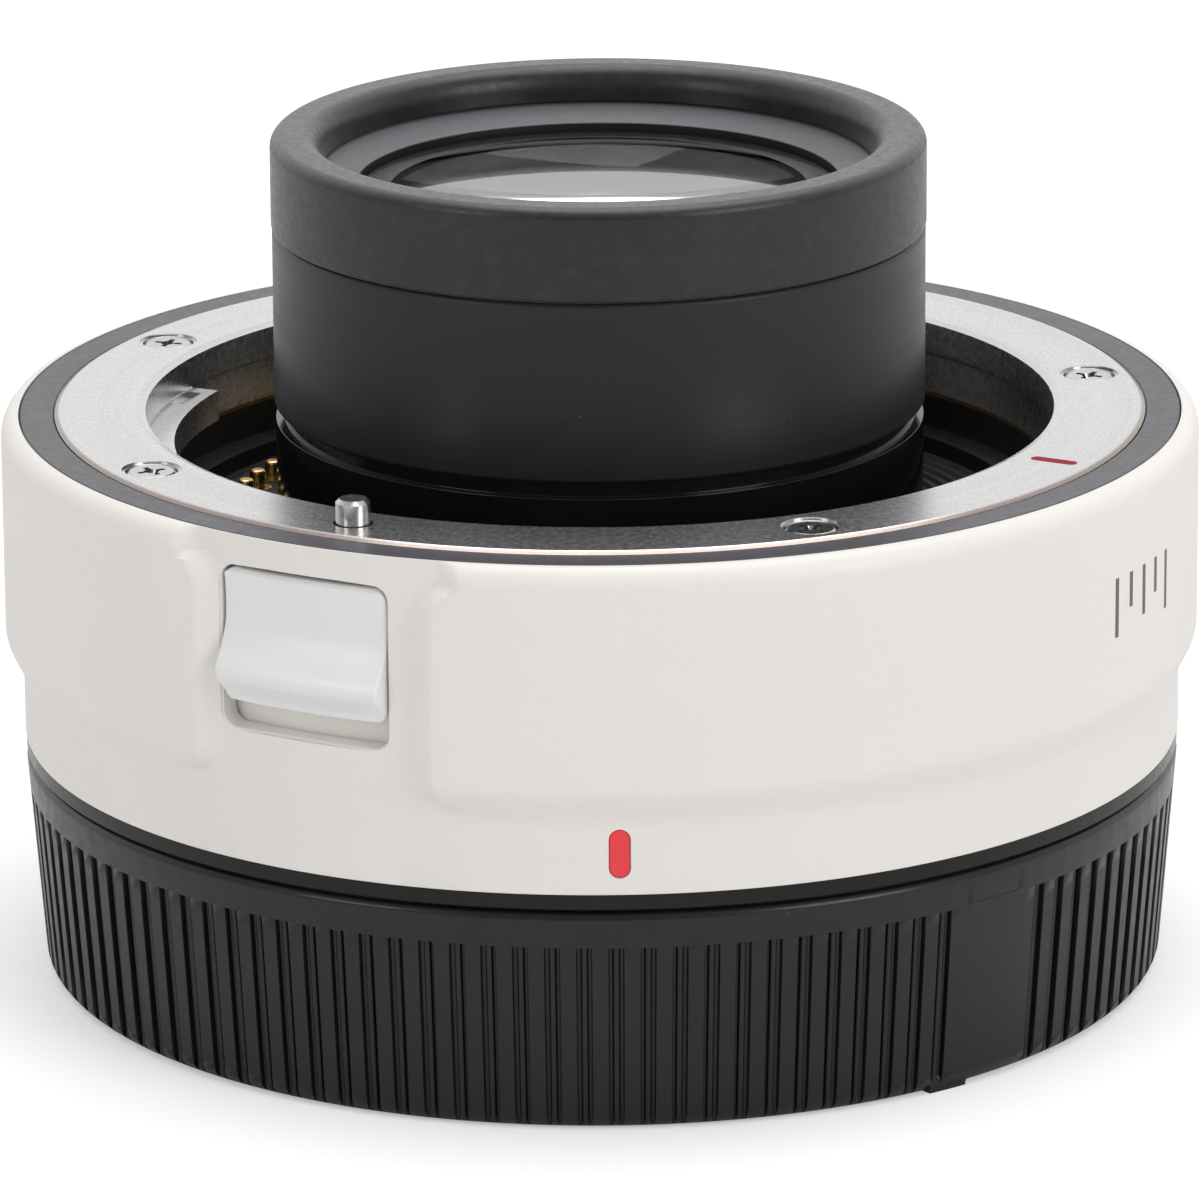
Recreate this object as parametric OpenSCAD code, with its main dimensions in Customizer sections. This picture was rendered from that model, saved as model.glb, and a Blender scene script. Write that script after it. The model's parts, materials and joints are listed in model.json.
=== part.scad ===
// Camera teleconverter: a short tube of glass that sits between a lens and a camera.
// The origin is on the optical axis, at the flat bottom of the rear cap. +Z points to the lens.

/* [Body] */
// Widest diameter of the white housing
body_d = 71.2; // [70.4:0.1:76]
// Distance between the front and the rear mounting faces
flange_gap = 20.3; // [19.5:0.1:26]
// How far the metal mount stands above the housing rim
mount_proud = 0.17; // [0.1:0.01:0.4]
// Width of the rounded shoulder at the housing's front rim
rim_round_w = 1.04; // [0.8:0.01:1.4]
// Height of the rounded shoulder at the housing's front rim
rim_round_h = 1.35; // [1:0.01:2]
// How far the lower section is set in from the wide band
low_step = 1.04; // [0.7:0.01:1.2]
// Height of the straight lower section
low_h = 3.81; // [2.6:0.01:5]
// Height of the curve that joins the band to the lower section
cove_h = 2.8; // [1.5:0.1:4]
// Wall of the housing at the lower section
house_wall = 1.3; // [1:0.01:1.5]
// Height of the grey trim ring
trim_h = 1.5; // [1:0.1:2]
// Width of the grey trim ring with the gaps beside it
trim_w = 2.16; // [1.6:0.01:3]

/* [Front bayonet] */
// Width of the metal ring from its outer edge to the throat
mount_w = 5.4; // [4.8:0.1:6]
// Depth of the throat wall down to the claws
throat_depth = 2.1; // [1.8:0.05:2.4]
// How far the claws reach in from the throat
claw_reach = 1.67; // [1.4:0.01:1.9]
// Thickness of a claw
claw_t = 1.87; // [1.5:0.01:2.2]
// Angle that one front claw spans
claw_span = 48; // [40:1:54]
// How far the circle of mount screws lies outside the middle of the ring
screw_out = 0.15; // [0:0.01:0.2]
// Diameter of a mount screw's head
screw_head_d = 3; // [2.6:0.1:3.2]
// Diameter of a mount screw's shank
screw_shank_d = 1.7; // [1.4:0.1:2]
// Length of a front mount screw's shank
screw_shank_l = 4.2; // [3:0.1:6]
// Depth of the lens lug space below the claws
lug_space_h = 2.8; // [2.4:0.1:3.4]

/* [Lock and release] */
// Diameter of the lock pin
pin_d = 2; // [1.6:0.1:2.2]
// How far the lock pin stands above the mount
pin_proud = 1.45; // [1:0.05:1.6]
// Travel of the slider and the lock pin
release_travel = 1.45; // [1:0.05:1.5]
// Angle that the slider spans around the housing
slider_span = 17.7; // [14:0.1:18]
// Height of the slider's button
slider_h = 7.85; // [6.5:0.05:8.2]
// How far the slider's ridge stands out from the recessed pad
ridge_out = 1.2; // [0.8:0.1:2]
// Gap between the slider and the sides of its window
slider_gap = 0.2; // [0.1:0.01:0.3]

/* [Nose] */
// Height of the nose above the front mounting face
nose_rise = 16.43; // [15:0.01:22]
// Gap between the throat and the nose
nose_gap = 7.67; // [6.8:0.01:9]
// Height of the rubber ring on the nose
rubber_h = 5.55; // [4.5:0.05:7]
// Wall of the rubber ring at its opening
rubber_w = 2.33; // [2:0.01:3]
// Width of the rings between the rubber ring and the clear front lens
front_rings_w = 4.2; // [3.6:0.1:6]

/* [Contacts] */
// Number of sprung contact pins
contact_count = 12; // [12]
// Angle from one contact to the next
contact_pitch = 5.7; // [5.4:0.1:5.9]
// Distance from the nose to the contact circle
contact_out = 2.67; // [2.4:0.01:3]
// Diameter of a contact pin
contact_d = 0.96; // [0.8:0.02:1.1]
// Travel of a contact pin
contact_travel = 0.6; // [0.3:0.05:0.7]

/* [Rear bayonet] */
// Play between the rear lugs and a throat
lug_play = 0.15; // [0.08:0.01:0.3]
// Play between the rear spigot and a throat's claws
spigot_play = 0.13; // [0.08:0.01:0.3]
// Wall of the rear spigot
spigot_wall = 1.8; // [1.4:0.1:2]
// Thickness of a lug
lug_t = 1.45; // [1.2:0.05:1.7]
// Angle that one lug spans
lug_span = 46; // [38:1:52]
// Width of the weather seal around the rear mounting face
seal_w = 1.56; // [1.3:0.01:2]
// Thickness of the rear mount's flange
rear_flange_t = 1.53; // [1.3:0.01:1.8]
// Distance from the rear mount's edge to its circle of screws
rear_screw_in = 3.7; // [3.3:0.1:4.2]
// How far the rubber seal's lip reaches below the rear mounting face
seal_lip = 0.27; // [0.1:0.01:0.4]

/* [Rear cap] */
// Height of the cap below the rear mounting face
cap_drop = 13.72; // [13:0.01:18]
// How far the cap is set in from the housing above it
cap_step = 0.06; // [0.02:0.01:0.3]
// How much narrower the cap's radius is at its bottom
cap_taper = 0.9; // [0.5:0.05:1.2]
// Wall of the cap
cap_wall = 1.5; // [1.2:0.1:1.8]
// Radius of the cap's rounded bottom edge
cap_round = 1.15; // [0.8:0.05:1.4]
// Number of rib positions around the cap
rib_count = 115; // [90:1:120]
// Depth of the grooves between the ribs
groove_depth = 0.4; // [0.2:0.01:0.45]
// Width of a groove
groove_w = 1; // [0.6:0.05:1.1]
// Angle that the cap turns to unlock
cap_turn = 40.6; // [38:0.1:43]

/* [Hidden] */
$fn = 96;
// Turning and sliding fits, and the gaps that keep moving pieces apart
run_gap = 0.05;
side_gap = 0.15;
// Radial play of a piece pushed into a bore of the same assembly
seat_gap = 0.02;
eps = 0.01;

// Colours as the photograph shows them
white = [0.89, 0.88, 0.86];
steel = [0.78, 0.78, 0.79];
black = [0.09, 0.09, 0.1];
satin = [0.19, 0.19, 0.2];
rubber = [0.2, 0.2, 0.21];
grey = [0.55, 0.55, 0.57];
gold = [0.9, 0.75, 0.4];
bronze = [0.65, 0.45, 0.25];
glass = [0.75, 0.8, 0.85, 0.5];
red = [0.9, 0.25, 0.27];

// Heights of the main faces
rear_z = cap_drop;
front_z = rear_z + flange_gap;
rim_z = front_z - mount_proud;
nose_z = front_z + nose_rise;
throat_z = front_z - throat_depth;
claw_z = throat_z - claw_t;
skirt_z = claw_z - 0.6;
leaf_t = 0.25;
baffle_top_z = skirt_z - leaf_t;
lug_floor_z = claw_z - lug_space_h;
well_z = lug_floor_z - 1;
web_top_z = well_z - 2;
barrel_flange_z = well_z - 1;
web_t = 1.4;
web_z = web_top_z - web_t;
flange_top_z = rear_z + rear_flange_t;
house_z = rear_z + 0.72;

// Radii of the main rings
body_r = body_d / 2;
rim_r = body_r - rim_round_w;
low_r = body_r - low_step;
pad_r = max(rim_r, low_r) + 0.03;
bore_r = low_r - house_wall;
trim_r = rim_r - 0.06;
mount_r = rim_r - trim_w;
throat_r = mount_r - mount_w;
claw_r = throat_r - claw_reach;
screw_r = (mount_r + throat_r) / 2 + screw_out;
pin_r = screw_r - 0.15;
skirt_in_r = throat_r + 0.2;
skirt_r = pin_r - pin_d / 2 - 0.3;
chassis_r = bore_r - seat_gap;
rear_face_r = low_r - seal_w;
spigot_r = claw_r - spigot_play;
spigot_in_r = spigot_r - spigot_wall;
lug_r = throat_r - lug_play;
nose_r = throat_r - nose_gap;
contact_r = nose_r + contact_out;
rubber_r = nose_r + 0.05;
rubber_in_r = nose_r - rubber_w;
cell_r = nose_r - 1.33;
cell_rear_r = cell_r - 1;
base_r = nose_r - 0.08;
ledge_in_r = throat_r - 1.6;

// Directions around the axis
mark_a = -28.2;
pin_a = -118.15;
slider_a = pin_a - 1.25;
body_mark_a = -88.4;
contact_a = mark_a + 180;
front_claws = [180, 296, 71];
lug_angles = [30, 150, 270];
screw_angles = [for (t = [-122.3, -38.3, 38.3, 122.3, 180]) mark_a + t];
rear_screw_angles = [45, 135, 225, 315];

function arc(x, y, r, a0, a1, n) = [for (i = [0:n]) let(a = a0 + (a1 - a0) * i / n) [x + r * cos(a), y + r * sin(a)]];
function oval(x, y, rx, ry, a0, a1, n) = [for (i = [0:n]) let(a = a0 + (a1 - a0) * i / n) [x + rx * cos(a), y + ry * sin(a)]];

// A plain ring between two radii and two heights
module ring(r_in, r_out, z0, z1) {
    translate([0, 0, z0]) rotate_extrude() translate([r_in, 0]) square([r_out - r_in, z1 - z0]);
}

// A part of a ring, centred on one direction
module ring_arc(r_in, r_out, z0, z1, a, span) {
    rotate([0, 0, a - span / 2]) translate([0, 0, z0])
        rotate_extrude(angle = span) translate([r_in, 0]) square([r_out - r_in, z1 - z0]);
}

// A straight round hole or post at a radius and a direction
module post(r, a, d, z0, z1) {
    rotate([0, 0, a]) translate([r, 0, z0]) cylinder(d = d, h = z1 - z0, $fn = 40);
}

// A plate with rounded corners that stands on the housing wall, seen from outside
module wall_plate(r_in, r_out, a, span, z0, z1, corner) {
    w = 2 * pad_r * sin(span / 2);
    h = z1 - z0;
    rotate([0, 0, a]) translate([r_in, 0, z0 + h / 2]) rotate([90, 0, 90])
        linear_extrude(r_out - r_in) polygon(rounded(w, h, corner));
}
function rounded(w, h, r) = let(x = w / 2 - r, y = h / 2 - r)
    concat(arc(x, y, r, 0, 90, 5), arc(-x, y, r, 90, 180, 5), arc(-x, -y, r, 180, 270, 5), arc(x, -y, r, 270, 360, 5));

/* Housing */
cove_top_z = house_z + low_h + cove_h;
window_top_z = rim_z - 1.85;
window_h = slider_h + release_travel + 0.3;
window_span = slider_span + 2 * atan(slider_gap / pad_r);
corner_r = 0.9;
button_top_z = window_top_z - slider_gap;
button_z = button_top_z - slider_h;
plate_r = bore_r - 0.16;
plate_in_r = plate_r - 0.75;
plate_top_z = throat_z - side_gap;
plate_z = button_z - release_travel - 1.2;
pad_span = 20.4;
pad_slope = 1.7;
index_z = house_z + low_h / 2 + 0.55;

// The smooth curve from the band to the lower section
function cove_r(t) = low_r + (body_r - low_r) * (1 - cos(180 * t)) / 2;
function house_outline() = concat(
    [[low_r, house_z], [low_r, house_z + low_h]],
    [for (i = [1:9]) [cove_r(i / 10), house_z + low_h + cove_h * i / 10]],
    [[body_r, cove_top_z]],
    oval(rim_r, rim_z - rim_round_h, rim_round_w, rim_round_h, 0, 90, 8),
    [[trim_r + 0.04, rim_z], [trim_r + 0.04, rim_z - trim_h], [bore_r, rim_z - trim_h]],
    [[bore_r, flange_top_z], [rear_face_r + seat_gap, flange_top_z], [rear_face_r + seat_gap, house_z]]);

module outer_housing() {
    color(white) difference() {
        rotate_extrude($fn = 180) polygon(house_outline());
        // The wide band stops beside the slider, and its ends slope down to the pad
        rotate([0, 0, pin_a]) translate([0, 0, house_z + low_h - eps]) linear_extrude(rim_z - house_z)
            difference() {
                polygon(pad_outline());
                circle(r = pad_r, $fn = 180);
            }
        wall_plate(bore_r - 2, body_r + 2, slider_a, window_span, window_top_z - window_h, window_top_z, corner_r);
        index_shape(index_depth, 1, 0);
    }
}

// The pad's sides bend smoothly into the band
function pad_outline() = concat([[pad_r / 2, 0]],
    [for (i = [0:6]) pad_side(i / 6, -1)], [[body_r + 4, -body_r / 3], [body_r + 4, body_r / 3]],
    [for (i = [6:-1:0]) pad_side(i / 6, 1)]);
function pad_side(t, s) = let(a = s * (pad_span / 2 + pad_slope * t), r = pad_r + (body_r - pad_r + 0.04) * sin(90 * t))
    [r * cos(a), r * sin(a)];

// The red mark on the housing that lines up with the camera
index_w = 1.35;
index_h = 3;
index_depth = 0.35;
module index_shape(depth, out, gap) {
    w = index_w - 2 * gap;
    l = index_h - index_w;
    rotate([0, 0, body_mark_a]) translate([low_r - depth, 0, index_z]) rotate([0, 90, 0]) {
        translate([-l / 2, 0, 0]) cylinder(d = w, h = depth + out, $fn = 32);
        translate([l / 2, 0, 0]) cylinder(d = w, h = depth + out, $fn = 32);
        translate([-l / 2, -w / 2, 0]) cube([l, w, depth + out]);
    }
}
module housing_index_mark() {
    color(red) index_shape(index_depth, -0.08, 0.03);
}

module front_trim_ring() {
    color(grey) translate([0, 0, rim_z]) rotate_extrude($fn = 180) polygon([[mount_r + 0.04, -trim_h],
        [trim_r - 0.04, -trim_h], [trim_r - 0.04, -0.08], [trim_r - 0.12, 0],
        [mount_r + 0.12, 0], [mount_r + 0.04, -0.08]]);
}

/* Chassis that carries both mounts */
boss_r = rear_face_r - rear_screw_in;
chassis_in_r = skirt_r + 0.05;
well_wall_r = chassis_in_r - 0.03;
compartment_r = chassis_r - 2.2;
board_gap = 1;
board_z = web_z - board_gap;

function chassis_outline() = [[chassis_in_r, throat_z], [mount_r + 0.04, throat_z],
    [mount_r + 0.04, rim_z - trim_h], [chassis_r, rim_z - trim_h], [chassis_r, flange_top_z],
    [compartment_r, flange_top_z], [compartment_r, web_z], [cell_rear_r + seat_gap, web_z],
    [cell_rear_r + seat_gap, web_top_z], [chassis_in_r, web_top_z]];

module main_chassis() {
    color(black) difference() {
        union() {
            rotate_extrude($fn = 180) polygon(chassis_outline());
            for (a = rear_screw_angles) post(boss_r, a, 4.4, flange_top_z, web_z + eps);
            for (a = board_screw_angles) post(board_hole_r, a, 2.4, board_z, web_z + eps);
        }
        for (a = screw_angles) post(screw_r, a, screw_shank_d + 0.02, throat_z - screw_shank_l, throat_z + 1);
        for (a = rear_screw_angles) post(boss_r, a, screw_shank_d + 0.02, flange_top_z - 1, flange_top_z + 3.6);
        for (a = barrel_screw_angles) post(barrel_screw_r, a, screw_shank_d + 0.02, web_z - 1, web_top_z + 1);
        for (a = board_screw_angles) post(board_hole_r, a, board_shank_d + 0.02, board_z - 1, web_z);
        // Guide bore of the lock pin, pocket for the slider's plate and slot for the bracket
        post(pin_r, pin_a, pin_d + 2 * run_gap, web_z - 1, throat_z + 1);
        post(pin_r, pin_a, collar_d + 2 * side_gap, flange_top_z - 1, web_z);
        ring_arc(plate_in_r - side_gap, chassis_r + 1, plate_z - release_travel - 0.3, rim_z, slider_a, plate_span + 1);
        bracket_cut();
    }
}

/* Front mount */
red_len = 2.8;
function mount_outline() = [[skirt_in_r, skirt_z], [skirt_r, skirt_z], [skirt_r, throat_z],
    [mount_r, throat_z], [mount_r, rim_z - 0.02], [mount_r - 0.3, front_z], [throat_r + 0.45, front_z],
    [throat_r, rim_z], [throat_r, throat_z + 0.15], [throat_r + 0.05, throat_z],
    [skirt_in_r, throat_z - 0.15]];

module front_mount() {
    color(steel) difference() {
        union() {
            rotate_extrude($fn = 180) polygon(mount_outline());
            for (a = front_claws) ring_arc(claw_r, skirt_in_r + 0.4, claw_z, throat_z - 0.02, a, claw_span);
        }
        for (a = screw_angles) {
            post(screw_r, a, screw_head_d + 0.5, front_z - head_sink, front_z + 1);
            post(screw_r, a, screw_head_d + 0.1, front_z - head_sink - head_h, front_z);
            post(screw_r, a, screw_shank_d + 0.2, throat_z - 1, front_z);
        }
        post(pin_r, pin_a, pin_d + 0.3, throat_z - 1, front_z + 1);
        // A small stop notch near the end of the first claw
        ring_arc(claw_r + 0.7, throat_r, throat_z - 0.25, throat_z + 0.01, front_claws[0] - claw_span / 2 + 5, 6);
        red_shape(0.1);
    }
}
module red_shape(up) {
    rotate([0, 0, mark_a]) translate([screw_r - red_len / 2, -0.22, front_z - 0.15]) cube([red_len, 0.44, 0.15 + up]);
}
module mount_index_mark() {
    color(red) red_shape(0);
}

/* Mount screws with a cross recess */
head_sink = 0.12;
head_h = 0.8;
module cross_screw(shank_l, head_d = screw_head_d, shank_d = screw_shank_d) {
    difference() {
        union() {
            translate([0, 0, -head_h]) cylinder(d = head_d, h = head_h - 0.15, $fn = 40);
            translate([0, 0, -0.15]) cylinder(d1 = head_d, d2 = head_d - 0.4, h = 0.15, $fn = 40);
            translate([0, 0, -head_h - shank_l]) cylinder(d = shank_d, h = shank_l + eps, $fn = 32);
        }
        for (t = [0, 90]) rotate([0, 0, t]) translate([-0.85, -0.17, -0.55]) cube([1.7, 0.34, 1]);
        translate([0, 0, -0.6]) cylinder(d1 = 0.3, d2 = 0.9, h = 0.62, $fn = 24);
    }
}
module front_mount_screws() {
    shank = screw_shank_l + throat_depth - head_sink - head_h - 0.4;
    color(steel) for (i = [0:4]) rotate([0, 0, screw_angles[i]])
        translate([screw_r, 0, front_z - head_sink]) rotate([0, 0, 25 * i]) cross_screw(shank);
}

/* Leaf spring that presses a lens's lugs up */
module bayonet_spring() {
    color(bronze) {
        ring(skirt_in_r, skirt_r, skirt_z - leaf_t, skirt_z);
        for (a = front_claws) ring_arc(claw_r + 0.8, skirt_in_r + 0.2, skirt_z - leaf_t, skirt_z, a, claw_span - 14);
    }
}

/* Black well around the nose */
ridge_pitch = 0.85;
ridge_h = 0.25;
well_in_r = base_r + 0.25;
ridge_count = floor((ledge_in_r - well_in_r - 0.6) / ridge_pitch);
function ridge_points() = [for (i = [0:ridge_count - 1]) let(r = ledge_in_r - 0.3 - i * ridge_pitch)
    each [[r, well_z], [r - 0.3, well_z + ridge_h], [r - 0.42, well_z + ridge_h], [r - 0.55, well_z]]];
function well_outline() = concat([[well_wall_r, web_top_z], [well_wall_r, baffle_top_z],
    [skirt_in_r, baffle_top_z], [skirt_in_r, lug_floor_z], [ledge_in_r, lug_floor_z], [ledge_in_r, well_z]],
    ridge_points(), [[well_in_r, well_z], [well_in_r, barrel_flange_z],
    [barrel_flange_r + 0.05, barrel_flange_z], [barrel_flange_r + 0.05, web_top_z]]);

module light_baffle() {
    color(black) difference() {
        rotate_extrude($fn = 180) polygon(well_outline());
        ring_arc(block_in_r - 0.03, block_r + 0.03, web_top_z - 1, well_z + 1, contact_a, block_span + 0.3);
    }
}

/* Front contacts */
block_in_r = contact_r - 1.7;
block_r = contact_r + 2;
block_span = contact_pitch * (contact_count - 1) + 6;
block_top_z = well_z + 0.4;
contact_top_z = front_z - 6.27;
tube_d = contact_d + 0.7;
function contact_angle(i) = contact_a + contact_pitch * (i - (contact_count + 1) / 2);

module front_contact_block() {
    color(black) difference() {
        ring_arc(block_in_r, block_r, web_top_z, block_top_z, contact_a, block_span);
        for (i = [1:contact_count]) post(contact_r, contact_angle(i), tube_d + 0.02, web_top_z - 1, block_top_z + 1);
    }
}
module contact_tubes() {
    color(gold) for (i = [1:contact_count]) difference() {
        post(contact_r, contact_angle(i), tube_d, web_top_z, block_top_z);
        post(contact_r, contact_angle(i), contact_d + 2 * run_gap, web_top_z + 0.3, block_top_z + 1);
    }
}
module contact_pin(i) {
    color(gold) rotate([0, 0, contact_angle(i)]) translate([contact_r, 0, 0]) rotate_extrude($fn = 32)
        polygon(concat([[0, contact_foot_z], [contact_d / 2, contact_foot_z]],
            arc(contact_d / 2 - 0.2, contact_top_z - 0.2, 0.2, 0, 90, 4), [[0, contact_top_z]]));
}
contact_foot_z = web_top_z + 0.3 + contact_travel + 0.2;

/* Lens barrel, nose and front rings */
front_clear_r = rubber_in_r - front_rings_w;
glass_r = front_clear_r + 0.6;
lens_bore_r = glass_r + seat_gap;
retainer_top_z = nose_z - 3.6;
retainer_z = nose_z - 4.83;
cone_top_z = nose_z - 2.1;
sleeve_top_z = nose_z - rubber_h;
sleeve_z = rim_z + 0.3;
base_top_z = rim_z - 0.55;
groove_r = nose_r - 0.63;
barrel_flange_r = nose_r + 5.17;
barrel_screw_r = barrel_flange_r - 2.4;
foot_r = base_r + 0.5;
foot_h = 0.4;
barrel_screw_angles = [0, 80, 250];
seat1_z = front_z - 1.2;
rear_bore_r = cell_rear_r - 5.8;
rear_seat_z = web_z - 1.2;
cell_z = rear_z - 4.4;
bridge_r = rear_bore_r - 1;

function barrel_outline() = [[bridge_r, seat1_z - 1.5], [bridge_r, face_z(doublet_top_z, doublet_top_s, bridge_r)],
    [rear_bore_r, rear_seat_z], [rear_bore_r + seat_gap, rear_seat_z], [rear_bore_r + seat_gap, cell_z], [cell_rear_r - 0.4, cell_z],
    [cell_rear_r, cell_z + 0.4], [cell_rear_r, web_top_z], [foot_r, web_top_z],
    [foot_r, web_top_z + foot_h], [base_r, web_top_z + foot_h], [base_r, base_top_z - 0.12],
    [base_r - 0.12, base_top_z], [groove_r, base_top_z], [groove_r, sleeve_z],
    [cell_r, sleeve_z], [cell_r, retainer_top_z], [lens_bore_r + 1, retainer_top_z],
    [lens_bore_r + 1, retainer_z], [lens_bore_r, retainer_z], [lens_bore_r, seat1_z], [bridge_r, seat1_z]];

module lens_barrel() {
    color(black) rotate_extrude($fn = 180) polygon(barrel_outline());
}
// A ring that holds the barrel's foot down on the chassis
module barrel_clamp() {
    color(black) difference() {
        rotate_extrude($fn = 180) polygon([[foot_r + seat_gap, web_top_z], [barrel_flange_r, web_top_z],
            [barrel_flange_r, barrel_flange_z], [base_r + seat_gap, barrel_flange_z],
            [base_r + seat_gap, web_top_z + foot_h], [foot_r + seat_gap, web_top_z + foot_h]]);
        ring_arc(block_in_r - 0.1, barrel_flange_r + 1, web_top_z - 1, barrel_flange_z + 1,
            contact_a, block_span + 1);
        for (a = barrel_screw_angles) post(barrel_screw_r, a, screw_shank_d + 0.02, web_top_z - 1, web_top_z + 0.7);
    }
}
module barrel_screws() {
    color(steel) for (a = barrel_screw_angles) rotate([0, 0, a])
        translate([barrel_screw_r, 0, web_z - head_h]) mirror([0, 0, 1]) cross_screw(web_t + 0.5);
}
module nose_sleeve() {
    color(satin) rotate_extrude($fn = 180) polygon([[cell_r + seat_gap, sleeve_z], [nose_r - 0.25, sleeve_z],
        [nose_r, sleeve_z + 0.25], [nose_r, sleeve_top_z - 0.15], [nose_r - 0.12, sleeve_top_z],
        [cell_r + seat_gap, sleeve_top_z]]);
}
lip_in = 1.2;
lip_out = 0.8;
module front_rubber_ring() {
    color(rubber) rotate_extrude($fn = 180) polygon(concat(
        [[cell_r + seat_gap, sleeve_top_z], [rubber_r - 0.1, sleeve_top_z], [rubber_r, sleeve_top_z + 0.1]],
        arc(rubber_r - lip_out, nose_z - lip_out, lip_out, 0, 90, 8),
        arc(rubber_in_r + lip_in, nose_z - lip_in, lip_in, 90, 180, 8),
        [[rubber_in_r, cone_top_z], [cell_r + seat_gap, cone_top_z]]));
}
module front_cone_ring() {
    color(grey) rotate_extrude($fn = 180) polygon([[lens_bore_r + 0.9, retainer_top_z], [cell_r, retainer_top_z],
        [cell_r, cone_top_z], [rubber_in_r, cone_top_z], [cone_in_r, cone_top_z - 0.84],
        [cone_in_r, retainer_top_z]]);
}
cone_in_r = lens_bore_r + 0.83;
module front_retaining_ring() {
    color(black) rotate_extrude($fn = 180) polygon([[front_clear_r, face_z(front_vertex_z, -front_dome, front_clear_r)],
        [glass_r, retainer_z], [lens_bore_r + 0.95, retainer_z],
        [lens_bore_r + 0.95, retainer_top_z], [cone_in_r - 0.1, retainer_top_z],
        [front_clear_r, retainer_top_z - 0.4]]);
}

/* Glass: seven elements in four groups */
// Height of a spherical face above its vertex plane at radius r, for a sphere of radius s
function sag(s, r) = s == 0 ? 0 : (abs(s) - sqrt(s * s - r * r)) * sign(s);
// Outline of an element with vertices at z0 and z1; s0 and s1 are the faces' signed radii
// Height of a face with its vertex at z and its signed radius s, at radius r
function face_z(z, s, r) = z + sag(s, r);
function lens_outline(z0, z1, s0, s1, r) = concat(
    [for (i = [0:10]) let(x = r * i / 10) [x, z0 + sag(s0, x)]],
    [for (i = [10:-1:0]) let(x = r * i / 10) [x, z1 + sag(s1, x)]]);
// A ring between two faces, its ends coned to fit them
module glass_spacer(r_in, r_out, z0, s0, z1, s1) {
    color(black) rotate_extrude() polygon([[r_in, face_z(z0, s0, r_in)], [r_out, face_z(z0, s0, r_out)],
        [r_out, face_z(z1, s1, r_out)], [r_in, face_z(z1, s1, r_in)]]);
}
module element(z0, z1, s0, s1, r) {
    color(glass) rotate_extrude() polygon(lens_outline(z0, z1, s0, s1, r));
}
front_dome = 6 * glass_r;
front_back_s = 4.5 * glass_r;
front_edge_t = 0.55;
front_vertex_z = retainer_z - sag(-front_dome, glass_r);
front_back_z = retainer_z - front_edge_t - sag(front_back_s, glass_r);
triplet_top_s = -6.7 * glass_r;
triplet_mid_s = 3.4 * glass_r;
triplet_low_s = -4.5 * glass_r;
triplet_top_z = seat1_z + 8.6 - sag(triplet_top_s, glass_r);
triplet_z = seat1_z - sag(triplet_low_s, glass_r);
mid1_z = seat1_z + 3.2;
mid2_z = seat1_z + 5.2;
module lens_1() {
    element(front_back_z, front_vertex_z, front_back_s, -front_dome, glass_r);
}
module lens_2() {
    element(mid2_z, triplet_top_z, triplet_mid_s, triplet_top_s, glass_r);
}
module lens_3() {
    element(mid1_z, mid2_z, -triplet_mid_s, triplet_mid_s, glass_r);
}
module lens_4() {
    element(triplet_z, mid1_z, triplet_low_s, -triplet_mid_s, glass_r);
}
module front_spacer() {
    glass_spacer(glass_r - 1.2, glass_r, triplet_top_z, triplet_top_s, front_back_z, front_back_s);
}
rear_glass_r = rear_bore_r;
doublet_edge_z = rear_seat_z;
doublet_top_s = -3.6 * rear_glass_r;
doublet_mid_s = -2.7 * rear_glass_r;
doublet_top_z = doublet_edge_z - sag(doublet_top_s, rear_glass_r);
doublet_mid_z = doublet_edge_z - 3;
doublet_z = doublet_edge_z - 5;
doublet_s = -5.4 * rear_glass_r;
module lens_5() {
    element(doublet_mid_z, doublet_top_z, doublet_mid_s, doublet_top_s, rear_glass_r);
}
module lens_6() {
    element(doublet_z, doublet_mid_z, doublet_s, doublet_mid_s, rear_glass_r);
}
rear_vertex_z = cell_z + 1.6;
rear_top_s = -6.2 * rear_glass_r;
rear_low_s = 8 * rear_glass_r;
rear_edge_t = 0.8;
rear_top_z = rear_vertex_z + rear_edge_t + sag(rear_low_s, rear_glass_r) - sag(rear_top_s, rear_glass_r);
module rear_spacer() {
    glass_spacer(rear_glass_r - 1.1, rear_glass_r, rear_top_z, rear_top_s, doublet_z, doublet_s);
}
module lens_7() {
    element(rear_vertex_z, rear_top_z, rear_low_s, rear_top_s, rear_glass_r);
}
module rear_retaining_ring() {
    glass_spacer(rear_glass_r - 1.2, rear_glass_r, cell_z + 0.3, 0, rear_vertex_z, rear_low_s);
}

/* Lock pin, its spring and the release slider */
bracket_t = 0.9;
collar_t = 1;
collar_d = 3.2;
collar_top_z = web_z - 1;
collar_z = collar_top_z - collar_t;
bracket_z = collar_top_z + run_gap;
plate_span = slider_span + 6;
bracket_w = 4;
module lock_pin() {
    color(steel) rotate([0, 0, pin_a]) translate([pin_r, 0, 0]) rotate_extrude($fn = 48)
        polygon([[0, collar_z - 1.6], [0.6, collar_z - 1.6], [0.6, collar_z], [collar_d / 2, collar_z],
            [collar_d / 2, collar_top_z], [pin_d / 2, collar_top_z], [pin_d / 2, front_z + pin_proud - 0.22],
            [pin_d / 2 - 0.22, front_z + pin_proud], [0, front_z + pin_proud]]);
}
spring_wire = 0.36;
spring_turns = 5;
spring_r = 1.15;
coil_steps = 16;
function coil_ring(i, n) = let(a = 360 * i / coil_steps, z = (collar_z - flange_top_z - spring_wire) * i / n)
    [for (k = [0:7]) let(r = spring_r + spring_wire / 2 * cos(45 * k))
        [r * cos(a), r * sin(a), z + spring_wire / 2 * sin(45 * k)]];
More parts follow.
